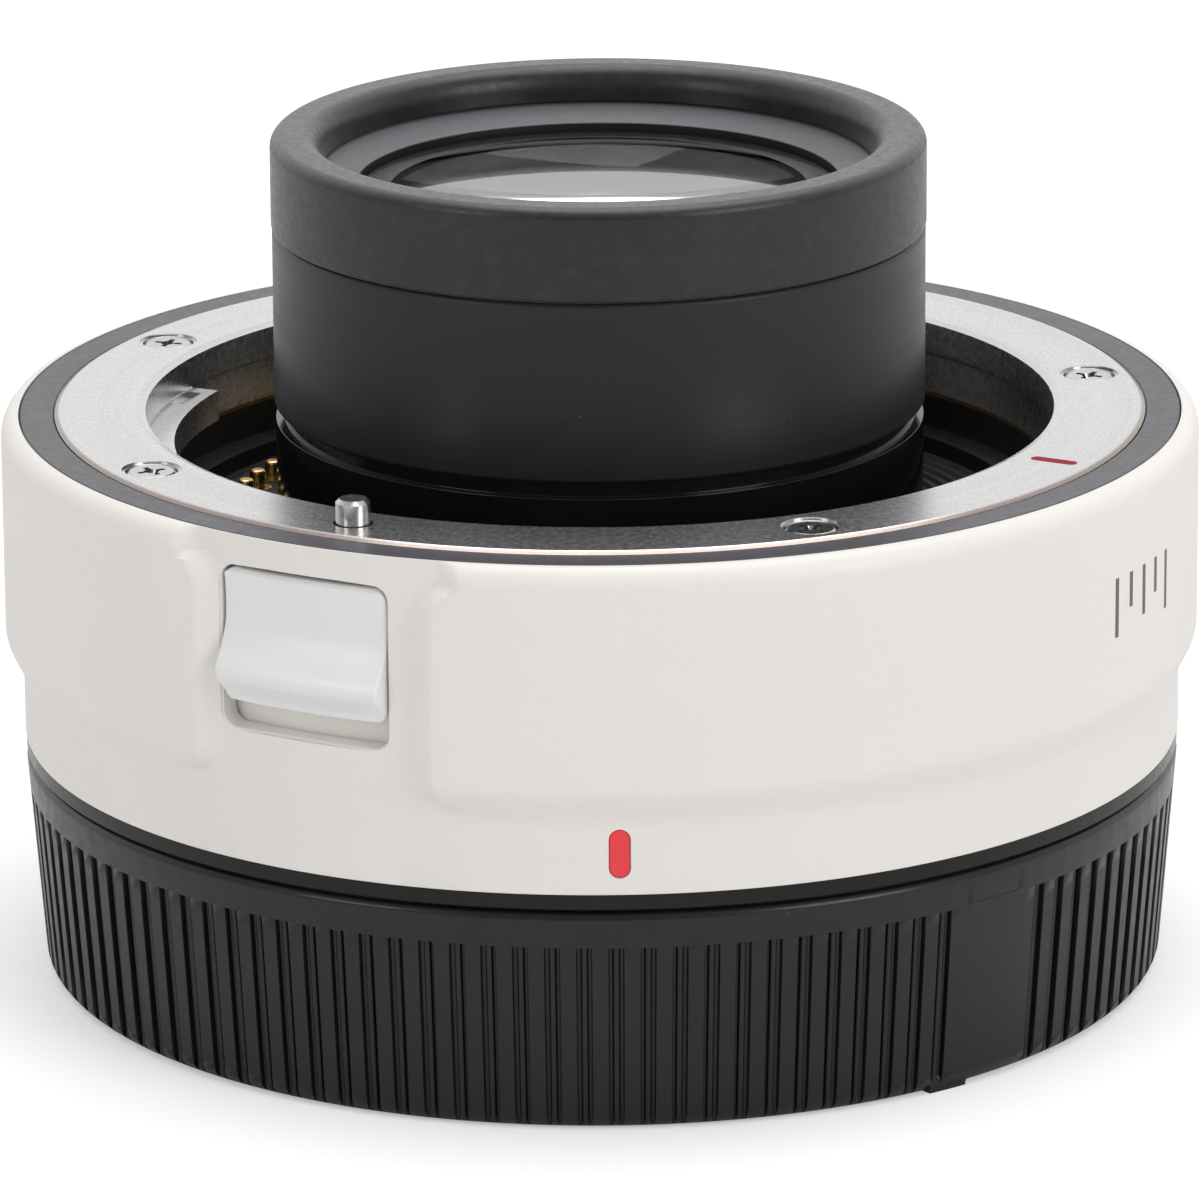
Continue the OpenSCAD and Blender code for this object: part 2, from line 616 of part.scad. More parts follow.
module lock_pin_spring() {
    n = spring_turns * coil_steps;
    color(steel) rotate([0, 0, pin_a]) translate([pin_r, 0, flange_top_z + spring_wire / 2])
        polyhedron(points = [for (i = [0:n]) each coil_ring(i, n)],
            faces = concat([[for (k = [0:7]) k]], [[for (k = [7:-1:0]) n * 8 + k]],
                [for (i = [0:n - 1]) for (k = [0:7]) let(a = i * 8 + k, b = i * 8 + (k + 1) % 8) [a, a + 8, b + 8, b]]));
}
module bracket_cut() {
    rotate([0, 0, pin_a]) translate([pin_r - 2.2, -bracket_w / 2 - side_gap, bracket_z - release_travel - side_gap])
        cube([chassis_r, bracket_w + 2 * side_gap, release_travel + bracket_t + 2 * side_gap]);
}
module release_bracket() {
    color(steel) difference() {
        intersection() {
            rotate([0, 0, pin_a]) translate([pin_r - 1.6, -bracket_w / 2, bracket_z])
                cube([chassis_r, bracket_w, bracket_t]);
            cylinder(r = plate_in_r, h = front_z, $fn = 180);
        }
        post(pin_r, pin_a, pin_d + 2 * run_gap, bracket_z - 1, bracket_z + 2);
    }
}

// Side view of the button: a hollow ramp that flares out to a ridge and turns back in
ridge_z = button_z + 2.1;
ridge_r = pad_r + ridge_out;
ramp_h = button_top_z - 0.2 - ridge_z;
flare_start = 0.45;
function ramp_r(t) = pad_r - 0.1 - 0.12 * sin(180 * min(1, 1.4 * t))
    + (ridge_out + 0.1) * pow(max(0, (t - flare_start) / (1 - flare_start)), 2.2);
function button_outline() = concat([[plate_r - 0.3, button_z], [pad_r - 0.2, button_z], [pad_r, button_z + 0.12]],
    [[ridge_r - 0.25, ridge_z - 0.35], [ridge_r - 0.02, ridge_z - 0.12]],
    [for (i = [14:-1:0]) [ramp_r(i / 14), ridge_z + 0.12 + (ramp_h - 0.12) * (1 - i / 14)]],
    [[pad_r - 0.45, button_top_z], [plate_r - 0.3, button_top_z]]);

module release_slider() {
    color(white) {
        intersection() {
            rotate([0, 0, slider_a - 15]) rotate_extrude(angle = 30, $fn = 180) polygon(button_outline());
            wall_plate(bore_r - 4, body_r + 4, slider_a, slider_span, button_z, button_top_z, corner_r - slider_gap);
        }
        ring_arc(plate_in_r, plate_r, plate_z, plate_top_z, slider_a, plate_span);
    }
}

/* Rear mount */
lug_top_z = rear_z - throat_depth - claw_t - side_gap;
lug_z = lug_top_z - lug_t;
spigot_z = rear_z - 6;
function rear_mount_outline() = [[spigot_in_r, spigot_z + 0.3], [spigot_in_r + 0.3, spigot_z], [spigot_r - 0.3, spigot_z],
    [spigot_r, spigot_z + 0.3], [spigot_r, rear_z], [rear_face_r - 0.1, rear_z],
    [rear_face_r, rear_z + 0.1], [rear_face_r, flange_top_z], [spigot_in_r, flange_top_z]];
module rear_mount() {
    color(steel) difference() {
        union() {
            rotate_extrude($fn = 180) polygon(rear_mount_outline());
            for (a = lug_angles) ring_arc(spigot_r - 0.5, lug_r, lug_z, lug_top_z, a, lug_span);
        }
        for (a = rear_screw_angles) {
            post(boss_r, a, screw_head_d + 0.1, rear_z - 1, rear_z + head_h + head_sink);
            post(boss_r, a, screw_shank_d + 0.2, rear_z - 1, flange_top_z + 1);
        }
        // Socket for the camera's own lock pin
        post(pin_r, lock_hole_a, pin_d + 0.6, rear_z - 1, rear_z + 1);
    }
}
lock_hole_a = body_mark_a - 90;
module rear_mount_screws() {
    color(steel) for (a = rear_screw_angles) rotate([0, 0, a])
        translate([boss_r, 0, rear_z + head_sink]) mirror([0, 0, 1]) cross_screw(2.8);
}
module weather_seal() {
    color(black) rotate_extrude($fn = 180) polygon([[rear_face_r + 0.02, house_z], [low_r - 0.04, house_z],
        [low_r - 0.06, rear_z - seal_lip + 0.15], [low_r - 0.2, rear_z - seal_lip],
        [low_r - 0.5, rear_z - seal_lip], [low_r - 0.8, rear_z + 0.02], [rear_face_r + 0.02, rear_z + 0.02]]);
}

/* Rear contacts and board */
rear_block_r = spigot_in_r - 0.1;
rear_block_in_r = cell_rear_r + 2.2;
rear_block_z = rear_z - 5.4;
rear_contact_r = (rear_block_r + rear_block_in_r) / 2;
board_in_r = rear_block_r + 0.6;
board_r = boss_r - 2.5;
board_t = 0.8;
board_hole_r = (board_in_r + board_r) / 2;
board_screw_angles = [0, 95, 200];
module rear_contact_block() {
    color(black) difference() {
        ring_arc(rear_block_in_r, rear_block_r, rear_block_z, web_z, contact_a, block_span);
        for (i = [1:contact_count])
            post(rear_contact_r, contact_angle(i), 1.32, rear_block_z - 1, rear_block_z + 1.2);
    }
}
module rear_contact_pads() {
    color(gold) for (i = [1:contact_count]) post(rear_contact_r, contact_angle(i), 1.3, rear_block_z - 0.05, rear_block_z + 1.2);
}
board_shank_d = 1;
module board_screws() {
    color(steel) for (a = board_screw_angles) rotate([0, 0, a])
        translate([board_hole_r, 0, board_z - board_t - head_h]) mirror([0, 0, 1]) cross_screw(board_t + 0.8, 2, board_shank_d);
}
module circuit_board() {
    color([0.05, 0.3, 0.15]) difference() {
        ring_arc(board_in_r, board_r, board_z - board_t, board_z, 90 + pin_a + 90, 290);
        for (a = board_screw_angles) post(board_hole_r, a, board_shank_d + 0.02, board_z - 2, board_z + 1);
    }
}
module controller_chip() {
    color(black) rotate([0, 0, 30]) translate([board_hole_r, 0, board_z - board_t - 0.4])
        cube([2.2, 6, 0.8], center = true);
}
module contact_cable() {
    color(bronze) ring_arc(rear_block_r, board_in_r + 0.5, board_z, board_z + 0.1, contact_a, 30);
}
module rear_light_mask() {
    color(black) difference() {
        rotate_extrude() polygon([[cell_rear_r + 0.05, rear_z - 3.4], [spigot_in_r - 0.02, rear_z - 3.4],
            [spigot_in_r - 0.02, rear_z - 2.4], [cell_rear_r + 0.05, rear_z - 2.4]]);
        ring_arc(rear_block_in_r - 0.05, spigot_r, rear_z - 5, rear_z, contact_a, block_span + 0.4);
    }
}

/* Rear cap */
cap_rim_z = rear_z - seal_lip - run_gap;
cap_top_r = low_r - cap_step;
cap_bottom_r = cap_top_r - cap_taper;
shoulder = 0.55;
cap_floor_z = 1.6;
inner_wall_r = lug_r + 0.3;
rib_top_z = cap_rim_z - 2.15;
cap_slope = (cap_top_r - cap_bottom_r) / (cap_rim_z - shoulder - cap_round);
smooth_a = body_mark_a + cap_turn - 1.2;
smooth_span = 9.4;
tab_span = 26;
edge_lug_turn = -6.4;
edge_lug_span = 5.5;
function cap_side_r(z) = cap_bottom_r + cap_slope * (z - cap_round);
function cap_outline() = concat([[0, 0]],
    arc(cap_bottom_r - cap_round, cap_round, cap_round, -90, 0, 6),
    arc(cap_top_r - shoulder, cap_rim_z - shoulder, shoulder, 0, 90, 6),
    [[cap_top_r - cap_wall - 0.2, cap_rim_z], [cap_bottom_r - cap_wall - 0.3, cap_floor_z + 0.6],
    [cap_bottom_r - cap_wall - 0.9, cap_floor_z], [inner_wall_r + 1.4, cap_floor_z],
    [inner_wall_r + 1.4, rear_z - 0.5], [inner_wall_r, rear_z - 0.5], [inner_wall_r, cap_floor_z + 0.8],
    [inner_wall_r - 0.8, cap_floor_z], [0, cap_floor_z]]);

module rear_cap() {
    color(satin) difference() {
        union() {
            rotate_extrude($fn = 180) polygon(cap_outline());
            for (a = lug_angles) ring_arc(spigot_r + 0.25, inner_wall_r + 0.3, lug_top_z + side_gap,
                rear_z - throat_depth, a - 60 + cap_turn, tab_span);
            // A small square lug fills the rounded bottom edge beside the smooth part
            ring_arc(cap_bottom_r - cap_round - 1, cap_bottom_r - 0.2, 0, 0.9, smooth_a + edge_lug_turn, edge_lug_span);
        }
        for (i = [0:rib_count - 1]) {
            a = smooth_a + smooth_span / 2 + (360 - smooth_span) * (i + 0.5) / rib_count;
            rotate([0, 0, a]) translate([cap_side_r(rib_top_z) - groove_depth, -groove_w / 2, rib_top_z])
                rotate([0, atan(cap_slope), 0]) translate([0, 0, -rib_top_z - 2])
                    cube([2, groove_w, rib_top_z + 2]);
        }
    }
}

outer_housing();
housing_index_mark();
front_trim_ring();
main_chassis();
front_mount();
mount_index_mark();
front_mount_screws();
bayonet_spring();
light_baffle();
front_contact_block();
contact_tubes();
for (i = [1:contact_count]) {
    contact_pin(i);
}
lens_barrel();
barrel_clamp();
barrel_screws();
nose_sleeve();
front_rubber_ring();
front_cone_ring();
front_retaining_ring();
lens_1();
lens_2();
lens_3();
lens_4();
lens_5();
lens_6();
lens_7();
front_spacer();
rear_spacer();
rear_retaining_ring();
lock_pin();
lock_pin_spring();
release_bracket();
release_slider();
rear_mount();
rear_mount_screws();
weather_seal();
rear_contact_block();
rear_contact_pads();
circuit_board();
board_screws();
controller_chip();
contact_cable();
rear_light_mask();
rear_cap();
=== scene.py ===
"""Looks of a camera teleconverter that stands on its rear cap, lens nose up."""

import json
import math

import bmesh
import bpy
from mathutils import Matrix, Vector


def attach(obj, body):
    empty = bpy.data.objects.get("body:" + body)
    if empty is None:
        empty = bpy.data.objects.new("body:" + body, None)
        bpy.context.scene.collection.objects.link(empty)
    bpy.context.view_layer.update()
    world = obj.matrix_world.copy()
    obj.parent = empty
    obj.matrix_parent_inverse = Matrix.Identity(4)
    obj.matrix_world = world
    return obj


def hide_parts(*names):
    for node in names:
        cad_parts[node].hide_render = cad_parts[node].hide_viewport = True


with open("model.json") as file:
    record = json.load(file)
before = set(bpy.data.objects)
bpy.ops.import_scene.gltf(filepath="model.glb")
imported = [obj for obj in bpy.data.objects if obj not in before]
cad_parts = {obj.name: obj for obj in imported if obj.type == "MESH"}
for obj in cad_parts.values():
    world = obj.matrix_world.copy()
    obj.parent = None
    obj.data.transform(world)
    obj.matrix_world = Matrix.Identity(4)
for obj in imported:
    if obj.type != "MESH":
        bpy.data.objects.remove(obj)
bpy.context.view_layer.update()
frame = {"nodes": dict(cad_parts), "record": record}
NODES = frame["nodes"]
MM = 0.001

# Camera: where it stood for the photograph, from the ellipses of the mount and the cap
CAMERA_AT = Vector((0.0, -509.656, 173.465)) * MM
CAMERA_TO = Vector((-0.063, 0.0, 21.556)) * MM
CAMERA_ROLL = math.radians(-0.359)
SENSOR_MM = 36.0
LENS_MM = 266.447

ROOM_LIGHT = 0.57
ROOM_FRONT = 0.3
FLOOR_GLOW = 0.35

# Sizes and directions, in mm and degrees, as the source of the part also names them
REAR_Z, RIM_Z, FRONT_Z, NOSE_Z = 13.72, 33.85, 34.02, 50.45
BODY_R, RIM_R, LOW_R, PAD_R, BORE_R, TRIM_R = 35.6, 34.56, 34.56, 34.59, 33.26, 34.5
REAR_FACE_R, MOUNT_R, THROAT_R = 33.0, 32.4, 27.0
HOUSE_Z, LOW_TOP_Z, COVE_TOP_Z, RIM_ROUND_H, TRIM_H = 14.44, 18.25, 21.05, 1.35, 1.5
FLANGE_TOP_Z = 15.25
NOSE_R, RUBBER_R, RUBBER_IN_R, CELL_R = 19.33, 19.38, 16.3, 18.0
GLASS_R, FRONT_CLEAR_R, CONE_IN_R, CONE_OUT_R, GLASS_EDGE_Z = 13.4, 12.8, 14.25, 17.0, 46.47
GLASS_FLAT_R, FACE_Z = 12.4, 47.2
# Radius where a painted brownish shade begins on the metal ring's outer edge, at the seam with the grey trim.
SEAM_SHADE_R = RIM_R - 2.46
SLEEVE_Z, SLEEVE_TOP_Z, CONE_TOP_Z, RETAINER_TOP_Z, RETAINER_Z = 34.15, 44.9, 48.35, 46.85, 45.62
SEAT_GAP = 0.02
FACE_MARK_R, FACE_MARK_W, FACE_MARK_LENGTH = 29.85, 0.8, 2.9
PIN_A, SLIDER_A, MARK_A, BODY_MARK_A = -118.15, -119.4, -28.2, -88.4
PAD_SPAN = 20.4
WINDOW_W, WINDOW_Z, WINDOW_TOP_Z, WINDOW_CORNER = 10.9, 22.4, 32.0, 0.9
BUTTON_W, BUTTON_Z, BUTTON_TOP_Z, BUTTON_CORNER, BUTTON_FOOT_R = 10.64, 23.95, 31.8, 0.75, 32.8
RIDGE_OUT, RIDGE_H = 1.2, 2.1
PLATE_R, PLATE_IN_R, PLATE_Z, PLATE_TOP_Z, PLATE_SPAN = 33.1, 32.35, 21.3, 31.77, 23.7
INDEX_W, INDEX_H, INDEX_Z, INDEX_DEPTH = 1.24, 2.9, 16.895, 0.35
CAP_RIM_Z, CAP_TOP_R, CAP_BOTTOM_R, CAP_ROUND, CAP_SHOULDER = 13.4, 34.5, 33.6, 1.15, 0.55
RIB_TOP_Z, RIB_COUNT, GROOVE_W, GROOVE_DEPTH = 11.25, 115, 0.84, 0.42
SMOOTH_A, SMOOTH_SPAN, LUG_TURN, LUG_SPAN = -49.0, 9.4, -4.4, 5.0
CAP_FLOOR_Z, CAP_INNER_R, SPIGOT_R = 1.6, 27.15, 25.2
TAB_Z, TAB_TOP_Z, TAB_SPAN, TAB_ANGLES = 9.75, 11.62, 26.0, (10.6, 130.6, 250.6)
# Glass: name, heights of the lower and upper vertex, signed radii of the two faces, radius
LENSES = (
    ("lens_1", 43.562, 46.700, 60.30, -420.00, 13.4),
    ("lens_2", 38.020, 42.426, 45.56, -89.78, 13.4),
    ("lens_3", 36.020, 38.020, -45.56, 45.56, 13.4),
    ("lens_4", 34.328, 36.020, -60.30, -45.56, 13.4),
    ("lens_5", 18.650, 23.237, -30.24, -40.32, 11.2),
    ("lens_6", 16.650, 18.650, -60.48, -30.24, 11.2),
    ("lens_7", 10.920, 13.332, 89.60, -69.44, 11.2),
)

# Outline of the lens barrel: radius and height
BARREL = ((10.2, 31.32), (10.2, 21.925), (11.2, 21.65), (11.22, 21.65), (11.22, 9.32), (16.6, 9.32),
          (17, 9.72), (17, 24.25), (19.75, 24.25), (19.75, 24.65), (19.25, 24.65), (19.25, 33.3),
          (18.7, 33.3), (18.7, 34.15), (18, 34.15), (18, 46.85), (14.42, 46.85), (14.42, 45.62),
          (13.42, 45.62), (13.42, 32.82), (10.2, 32.82))


def make_camera():
    forward = (CAMERA_TO - CAMERA_AT).normalized()
    right = forward.cross(Vector((0, 0, 1))).normalized()
    up = right.cross(forward)
    turned_right = math.cos(CAMERA_ROLL) * right + math.sin(CAMERA_ROLL) * up
    turned_up = math.cos(CAMERA_ROLL) * up - math.sin(CAMERA_ROLL) * right
    data = bpy.data.cameras.new("photo_camera")
    data.sensor_width = SENSOR_MM
    data.lens = LENS_MM
    data.clip_start = 0.01
    data.clip_end = 20
    camera = bpy.data.objects.new("photo_camera", data)
    axes = Matrix((turned_right, turned_up, -forward)).transposed()
    camera.matrix_world = Matrix.Translation(CAMERA_AT) @ axes.to_4x4()
    bpy.context.scene.collection.objects.link(camera)
    bpy.context.scene.camera = camera


def srgb(red, green, blue):
    """A colour as read from a screen, 0 to 255, in the renderer's linear values."""
    def one(value):
        value /= 255
        return value / 12.92 if value <= 0.04045 else ((value + 0.055) / 1.055) ** 2.4
    return (one(red), one(green), one(blue), 1.0)


class Finish:
    """A material with its shader and short calls for the nodes that give it detail."""

    def __init__(self, name, colour, rough, metallic=0.0, **sockets):
        self.slot = name
        self.mat = bpy.data.materials.new(name + "_look")
        self.mat.use_nodes = True
        self.nodes = self.mat.node_tree.nodes
        self.links = self.mat.node_tree.links
        self.shader = self.nodes["Principled BSDF"]
        self.colour = colour
        self.rough = rough
        self.set("Base Color", colour)
        self.set("Roughness", rough)
        self.set("Metallic", metallic)
        for key, value in sockets.items():
            self.set(key.replace("_", " ").title().replace("Ior", "IOR"), value)
        self.place = self.node("ShaderNodeTexCoord").outputs["Object"]
        self.height = None

    def set(self, socket, value):
        self.shader.inputs[socket].default_value = value

    def node(self, kind, **props):
        made = self.nodes.new(kind)
        for key, value in props.items():
            setattr(made, key, value)
        return made

    def join(self, value, socket):
        if isinstance(value, (int, float, tuple)):
            socket.default_value = value
        else:
            self.links.new(value, socket)

    def math(self, operation, first, second=0.0):
        made = self.node("ShaderNodeMath", operation=operation)
        self.join(first, made.inputs[0])
        self.join(second, made.inputs[1])
        return made.outputs[0]

    def noise(self, size_mm, detail=3.0, where=None, rough=0.5):
        made = self.node("ShaderNodeTexNoise")
        self.links.new(where or self.place, made.inputs["Vector"])
        made.inputs["Scale"].default_value = 1 / (size_mm * MM)
        made.inputs["Detail"].default_value = detail
        made.inputs["Roughness"].default_value = rough
        return made.outputs["Fac"]

    def span(self, value, low, high, to_low=0.0, to_high=1.0):
        made = self.node("ShaderNodeMapRange")
        self.links.new(value, made.inputs["Value"])
        for socket, number in zip(("From Min", "From Max", "To Min", "To Max"), (low, high, to_low, to_high)):
            made.inputs[socket].default_value = number
        return made.outputs["Result"]

    def turned(self, across_mm, along_mm, upright=False):
        """A place that runs quickly across the marks of a lathe and slowly along them."""
        parts = self.node("ShaderNodeSeparateXYZ")
        self.links.new(self.place, parts.inputs[0])
        x, y, z = parts.outputs
        radius = self.radius()
        fine, slow = 1 / across_mm, 1 / along_mm
        made = self.node("ShaderNodeCombineXYZ")
        across = self.math("ADD", radius, z) if not upright else z
        self.links.new(self.math("MULTIPLY", across, fine), made.inputs[0])
        self.links.new(self.math("MULTIPLY", x, slow), made.inputs[1])
        self.links.new(self.math("MULTIPLY", y, slow), made.inputs[2])
        return made.outputs[0]

    def radius(self):
        """The distance from the lens axis."""
        parts = self.node("ShaderNodeSeparateXYZ")
        self.links.new(self.place, parts.inputs[0])
        x, y = parts.outputs[0], parts.outputs[1]
        return self.math("SQRT", self.math("ADD", self.math("MULTIPLY", x, x), self.math("MULTIPLY", y, y)))

    def tint(self, mask, colour):
        """Lays another colour over the present one where the mask is 1."""
        mix = self.node("ShaderNodeMix", data_type="RGBA")
        self.join(mask, mix.inputs[0])
        socket = self.shader.inputs["Base Color"]
        if socket.is_linked:
            self.links.new(socket.links[0].from_socket, mix.inputs[6])
        else:
            mix.inputs[6].default_value = self.colour
        mix.inputs[7].default_value = colour
        self.links.new(mix.outputs[2], socket)

    def vary_rough(self, value, swing):
        self.links.new(self.span(value, 0.3, 0.7, self.rough - swing, self.rough + swing), self.shader.inputs["Roughness"])

    def bump(self, value, depth_mm, strength=1.0):
        made = self.node("ShaderNodeBump")
        made.inputs["Distance"].default_value = depth_mm * MM
        made.inputs["Strength"].default_value = strength
        self.links.new(value, made.inputs["Height"])
        socket = self.shader.inputs["Normal"]
        if socket.is_linked:
            self.links.new(socket.links[0].from_socket, made.inputs["Normal"])
        self.links.new(made.outputs[0], socket)

    def specks(self, size_mm, share, colour, chance=0.5):
        """Small dust specks: the hearts of some cells of a cell pattern."""
        cells = self.node("ShaderNodeTexVoronoi")
        self.links.new(self.place, cells.inputs["Vector"])
        cells.inputs["Scale"].default_value = 1 / (size_mm * MM)
        near = self.span(cells.outputs["Distance"], share * 0.6, share, 1.0, 0.0)
        some = self.node("ShaderNodeSeparateColor")
        self.links.new(cells.outputs["Color"], some.inputs[0])
        picked = self.math("LESS_THAN", some.outputs[0], chance)
        mask = self.math("MULTIPLY", near, picked)
        self.tint(mask, colour)
        return mask


def white_paint():
    made = Finish("white_paint", srgb(233, 229, 225), 0.4, specular_ior_level=0.4)
    made.tint(made.span(made.noise(14, 2), 0.4, 0.7, 0.0, 0.5), srgb(230, 225, 220))
    made.tint(made.span(made.noise(0.35, 3), 0.62, 0.72, 0.0, 0.3), srgb(222, 218, 213))
    made.vary_rough(made.noise(3.0, 4), 0.05)
    made.bump(made.noise(0.22, 2), 0.01)
    made.bump(made.noise(1.4, 2), 0.008)
    return made


def white_button():
    made = Finish("white_button", srgb(232, 232, 233), 0.32, specular_ior_level=0.5)
    made.tint(made.span(made.noise(5, 2), 0.4, 0.7, 0.0, 0.5), srgb(228, 228, 229))
    made.vary_rough(made.noise(2.0, 3), 0.05)
    made.bump(made.noise(0.18, 2), 0.006)
    return made


def brushed(name, colour, dark, rough):
    """Turned metal: fine lathe lines that spread each reflection across themselves."""
    made = Finish(name, colour, rough, 1.0, anisotropic=0.5, anisotropic_rotation=0.25)
    around = made.node("ShaderNodeTangent", direction_type="RADIAL", axis="Z")
    made.links.new(around.outputs[0], made.shader.inputs["Tangent"])
    lathe = made.noise(1.0, 2, made.turned(0.03, 30))
    broad = made.noise(1.0, 2, made.turned(0.3, 60))
    made.tint(made.span(broad, 0.35, 0.75, 0.0, 0.3), dark)
    made.tint(made.span(made.noise(0.3, 3), 0.4, 0.7, 0.0, 0.25), dark)
    # Painted shade: a brownish darkening on the ring's outer edge, where it meets the grey trim.
    made.tint(made.span(made.radius(), SEAM_SHADE_R * MM, (SEAM_SHADE_R + 0.12) * MM, 0.0, 0.7), srgb(132, 110, 94))
    made.vary_rough(made.noise(0.4, 3), 0.03)
    made.bump(lathe, 0.00015)
    return made


def pocket_grey():
    made = Finish("pocket_grey", srgb(236, 233, 227), 0.5, specular_ior_level=0.35)
    made.tint(made.span(made.noise(2, 3), 0.4, 0.7, 0.0, 0.5), srgb(230, 227, 221))
    made.vary_rough(made.noise(1.0, 3), 0.05)
    made.bump(made.noise(0.2, 2), 0.008)
    return made


def dark_red():
    made = Finish("dark_red", srgb(150, 14, 30), 0.5, specular_ior_level=0.1)
    made.tint(made.span(made.noise(0.4, 3), 0.4, 0.7, 0.0, 0.7), srgb(128, 10, 24))
    made.vary_rough(made.noise(0.4, 3), 0.05)
    made.bump(made.noise(0.12, 2), 0.005)
    return made


def mount_metal():
    return brushed("mount_metal", srgb(216, 215, 215), srgb(188, 187, 188), 0.27)


def steel():
    made = Finish("steel", srgb(205, 203, 202), 0.24, 1.0)
    made.tint(made.span(made.noise(0.6, 3), 0.4, 0.7, 0.0, 0.4), srgb(184, 182, 180))
    made.vary_rough(made.noise(0.4, 3), 0.04)
    made.bump(made.noise(0.12, 2), 0.0008)
    return made


def bronze():
    made = Finish("spring_bronze", srgb(176, 132, 84), 0.32, 1.0)
    made.tint(made.span(made.noise(2, 3), 0.4, 0.7, 0.0, 0.7), srgb(146, 104, 62))
    made.vary_rough(made.noise(0.5, 3), 0.08)
    made.bump(made.noise(0.15, 2), 0.003)
    return made


def black_plastic():
    made = Finish("black_plastic", srgb(22, 22, 23), 0.5, specular_ior_level=0.35)
    made.tint(made.span(made.noise(3, 3), 0.4, 0.7, 0.0, 0.6), srgb(30, 30, 31))
    made.specks(0.9, 0.09, srgb(80, 80, 78), 0.1)
    made.vary_rough(made.noise(0.8, 3), 0.08)
    made.bump(made.noise(0.12, 2), 0.008)
    return made


def black_metal():
    made = Finish("black_metal", srgb(18, 17, 17), 0.14, specular_ior_level=0.55)
    lathe = made.noise(1.0, 2, made.turned(0.08, 40))
    made.tint(made.span(made.noise(4, 2), 0.4, 0.7, 0.0, 0.5), srgb(25, 24, 23))
    made.vary_rough(lathe, 0.05)
    made.bump(lathe, 0.0015)
    return made


def satin_black():
    made = Finish("satin_black", srgb(34, 34, 36), 0.36, specular_ior_level=0.35)
    lathe = made.noise(1.0, 2, made.turned(0.07, 40))
    made.tint(made.span(made.noise(9, 2), 0.4, 0.7, 0.0, 0.5), srgb(38, 38, 40))
    made.specks(1.1, 0.05, srgb(100, 100, 100), 0.08)
    made.vary_rough(lathe, 0.05)
    made.bump(lathe, 0.0015)
    made.bump(made.noise(0.1, 2), 0.002)
    return made


def grey_ring(name="grey_ring", colour=srgb(78, 78, 82), dark=srgb(73, 73, 77)):
    made = Finish(name, colour, 0.4, specular_ior_level=0.5)
    made.tint(made.span(made.noise(0.8, 4), 0.4, 0.7, 0.0, 0.8), dark)
    made.vary_rough(made.noise(0.5, 3), 0.05)
    made.bump(made.noise(0.12, 2), 0.004)
    return made


def cone_grey():
    return grey_ring("cone_grey", srgb(103, 103, 107), srgb(97, 97, 101))


def rubber():
    made = Finish("rubber", srgb(29, 29, 31), 0.37, specular_ior_level=0.5, sheen_weight=0.12, sheen_roughness=0.35)
    made.tint(made.span(made.noise(2.2, 4), 0.4, 0.7, 0.0, 0.7), srgb(35, 35, 37))
    made.tint(made.span(made.noise(0.9, 5), 0.5, 0.75, 0.0, 0.12), srgb(84, 83, 84))
    # Painted sheen: the top of the ring is painted lighter, standing for the grazing reflection of the bright room on
    # it.
    parts = made.node("ShaderNodeSeparateXYZ")
    made.links.new(made.place, parts.inputs[0])
    made.tint(made.span(parts.outputs[2], (NOSE_Z - 0.45) * MM, (NOSE_Z - 0.05) * MM, 0.0, 0.45), srgb(88, 87, 89))
    made.specks(1.1, 0.045, srgb(130, 129, 130), 0.06)
    made.vary_rough(made.noise(0.5, 3), 0.07)
    made.bump(made.noise(0.14, 3), 0.006)
    made.bump(made.noise(0.6, 3), 0.006)
    return made


def cap_plastic():
    made = Finish("cap_plastic", srgb(22, 22, 24), 0.36, specular_ior_level=0.3, coat_weight=0.25,
                  coat_roughness=0.12)
    made.tint(made.span(made.noise(5, 3), 0.4, 0.7, 0.0, 0.6), srgb(27, 27, 29))
    made.specks(1.3, 0.04, srgb(90, 90, 92), 0.08)
    made.vary_rough(made.noise(0.8, 3), 0.06)
    made.bump(made.noise(0.11, 2), 0.005)
    return made


def seal_black_and_shade():
    # Black rubber, painted darker than its own black: painted shade of the recess between the housing and the cap.
    made = Finish("seal_black_and_shade", srgb(14, 12, 10), 0.22, specular_ior_level=0.3)
    made.tint(made.span(made.noise(2, 3), 0.4, 0.7, 0.0, 0.6), srgb(17, 16, 16))
    made.vary_rough(made.noise(0.5, 3), 0.06)
    made.bump(made.noise(0.12, 2), 0.004)
    return made


def gold():
    made = Finish("gold", srgb(250, 216, 150), 0.3, 1.0)
    made.tint(made.span(made.noise(0.4, 3), 0.4, 0.7, 0.0, 0.7), srgb(232, 190, 118))
    made.vary_rough(made.noise(0.2, 3), 0.07)
    made.bump(made.noise(0.05, 2), 0.002)
    return made


def glass(name="glass", ior=1.7, coat=0.35):
    made = Finish(name, srgb(206, 207, 212), 0.02, transmission_weight=1.0, ior=ior, coat_weight=coat,
                  coat_ior=1.6, coat_roughness=0.02)
    made.tint(made.span(made.noise(6, 2), 0.4, 0.7, 0.0, 0.5), srgb(198, 200, 206))
    made.vary_rough(made.noise(4, 1), 0.004)
    return made


def inner_glass():
    """The elements behind the first one, which their coating keeps from reflecting much."""
    return glass("inner_glass", 1.12, 0.0)


def ring_gloss():
    made = Finish("ring_gloss", srgb(36, 35, 36), 0.2, specular_ior_level=0.5)
    made.tint(made.span(made.noise(2, 2), 0.4, 0.7, 0.0, 0.6), srgb(42, 41, 42))
    made.vary_rough(made.noise(0.6, 3), 0.04)
    made.bump(made.noise(0.15, 2), 0.001)
    return made


def board():
    made = Finish("board", srgb(18, 92, 58), 0.35)
    made.tint(made.span(made.noise(0.5, 3), 0.5, 0.56, 0.0, 0.6), srgb(40, 120, 80))
    made.vary_rough(made.noise(0.6, 3), 0.06)
    made.bump(made.noise(0.3, 2), 0.01)
    return made


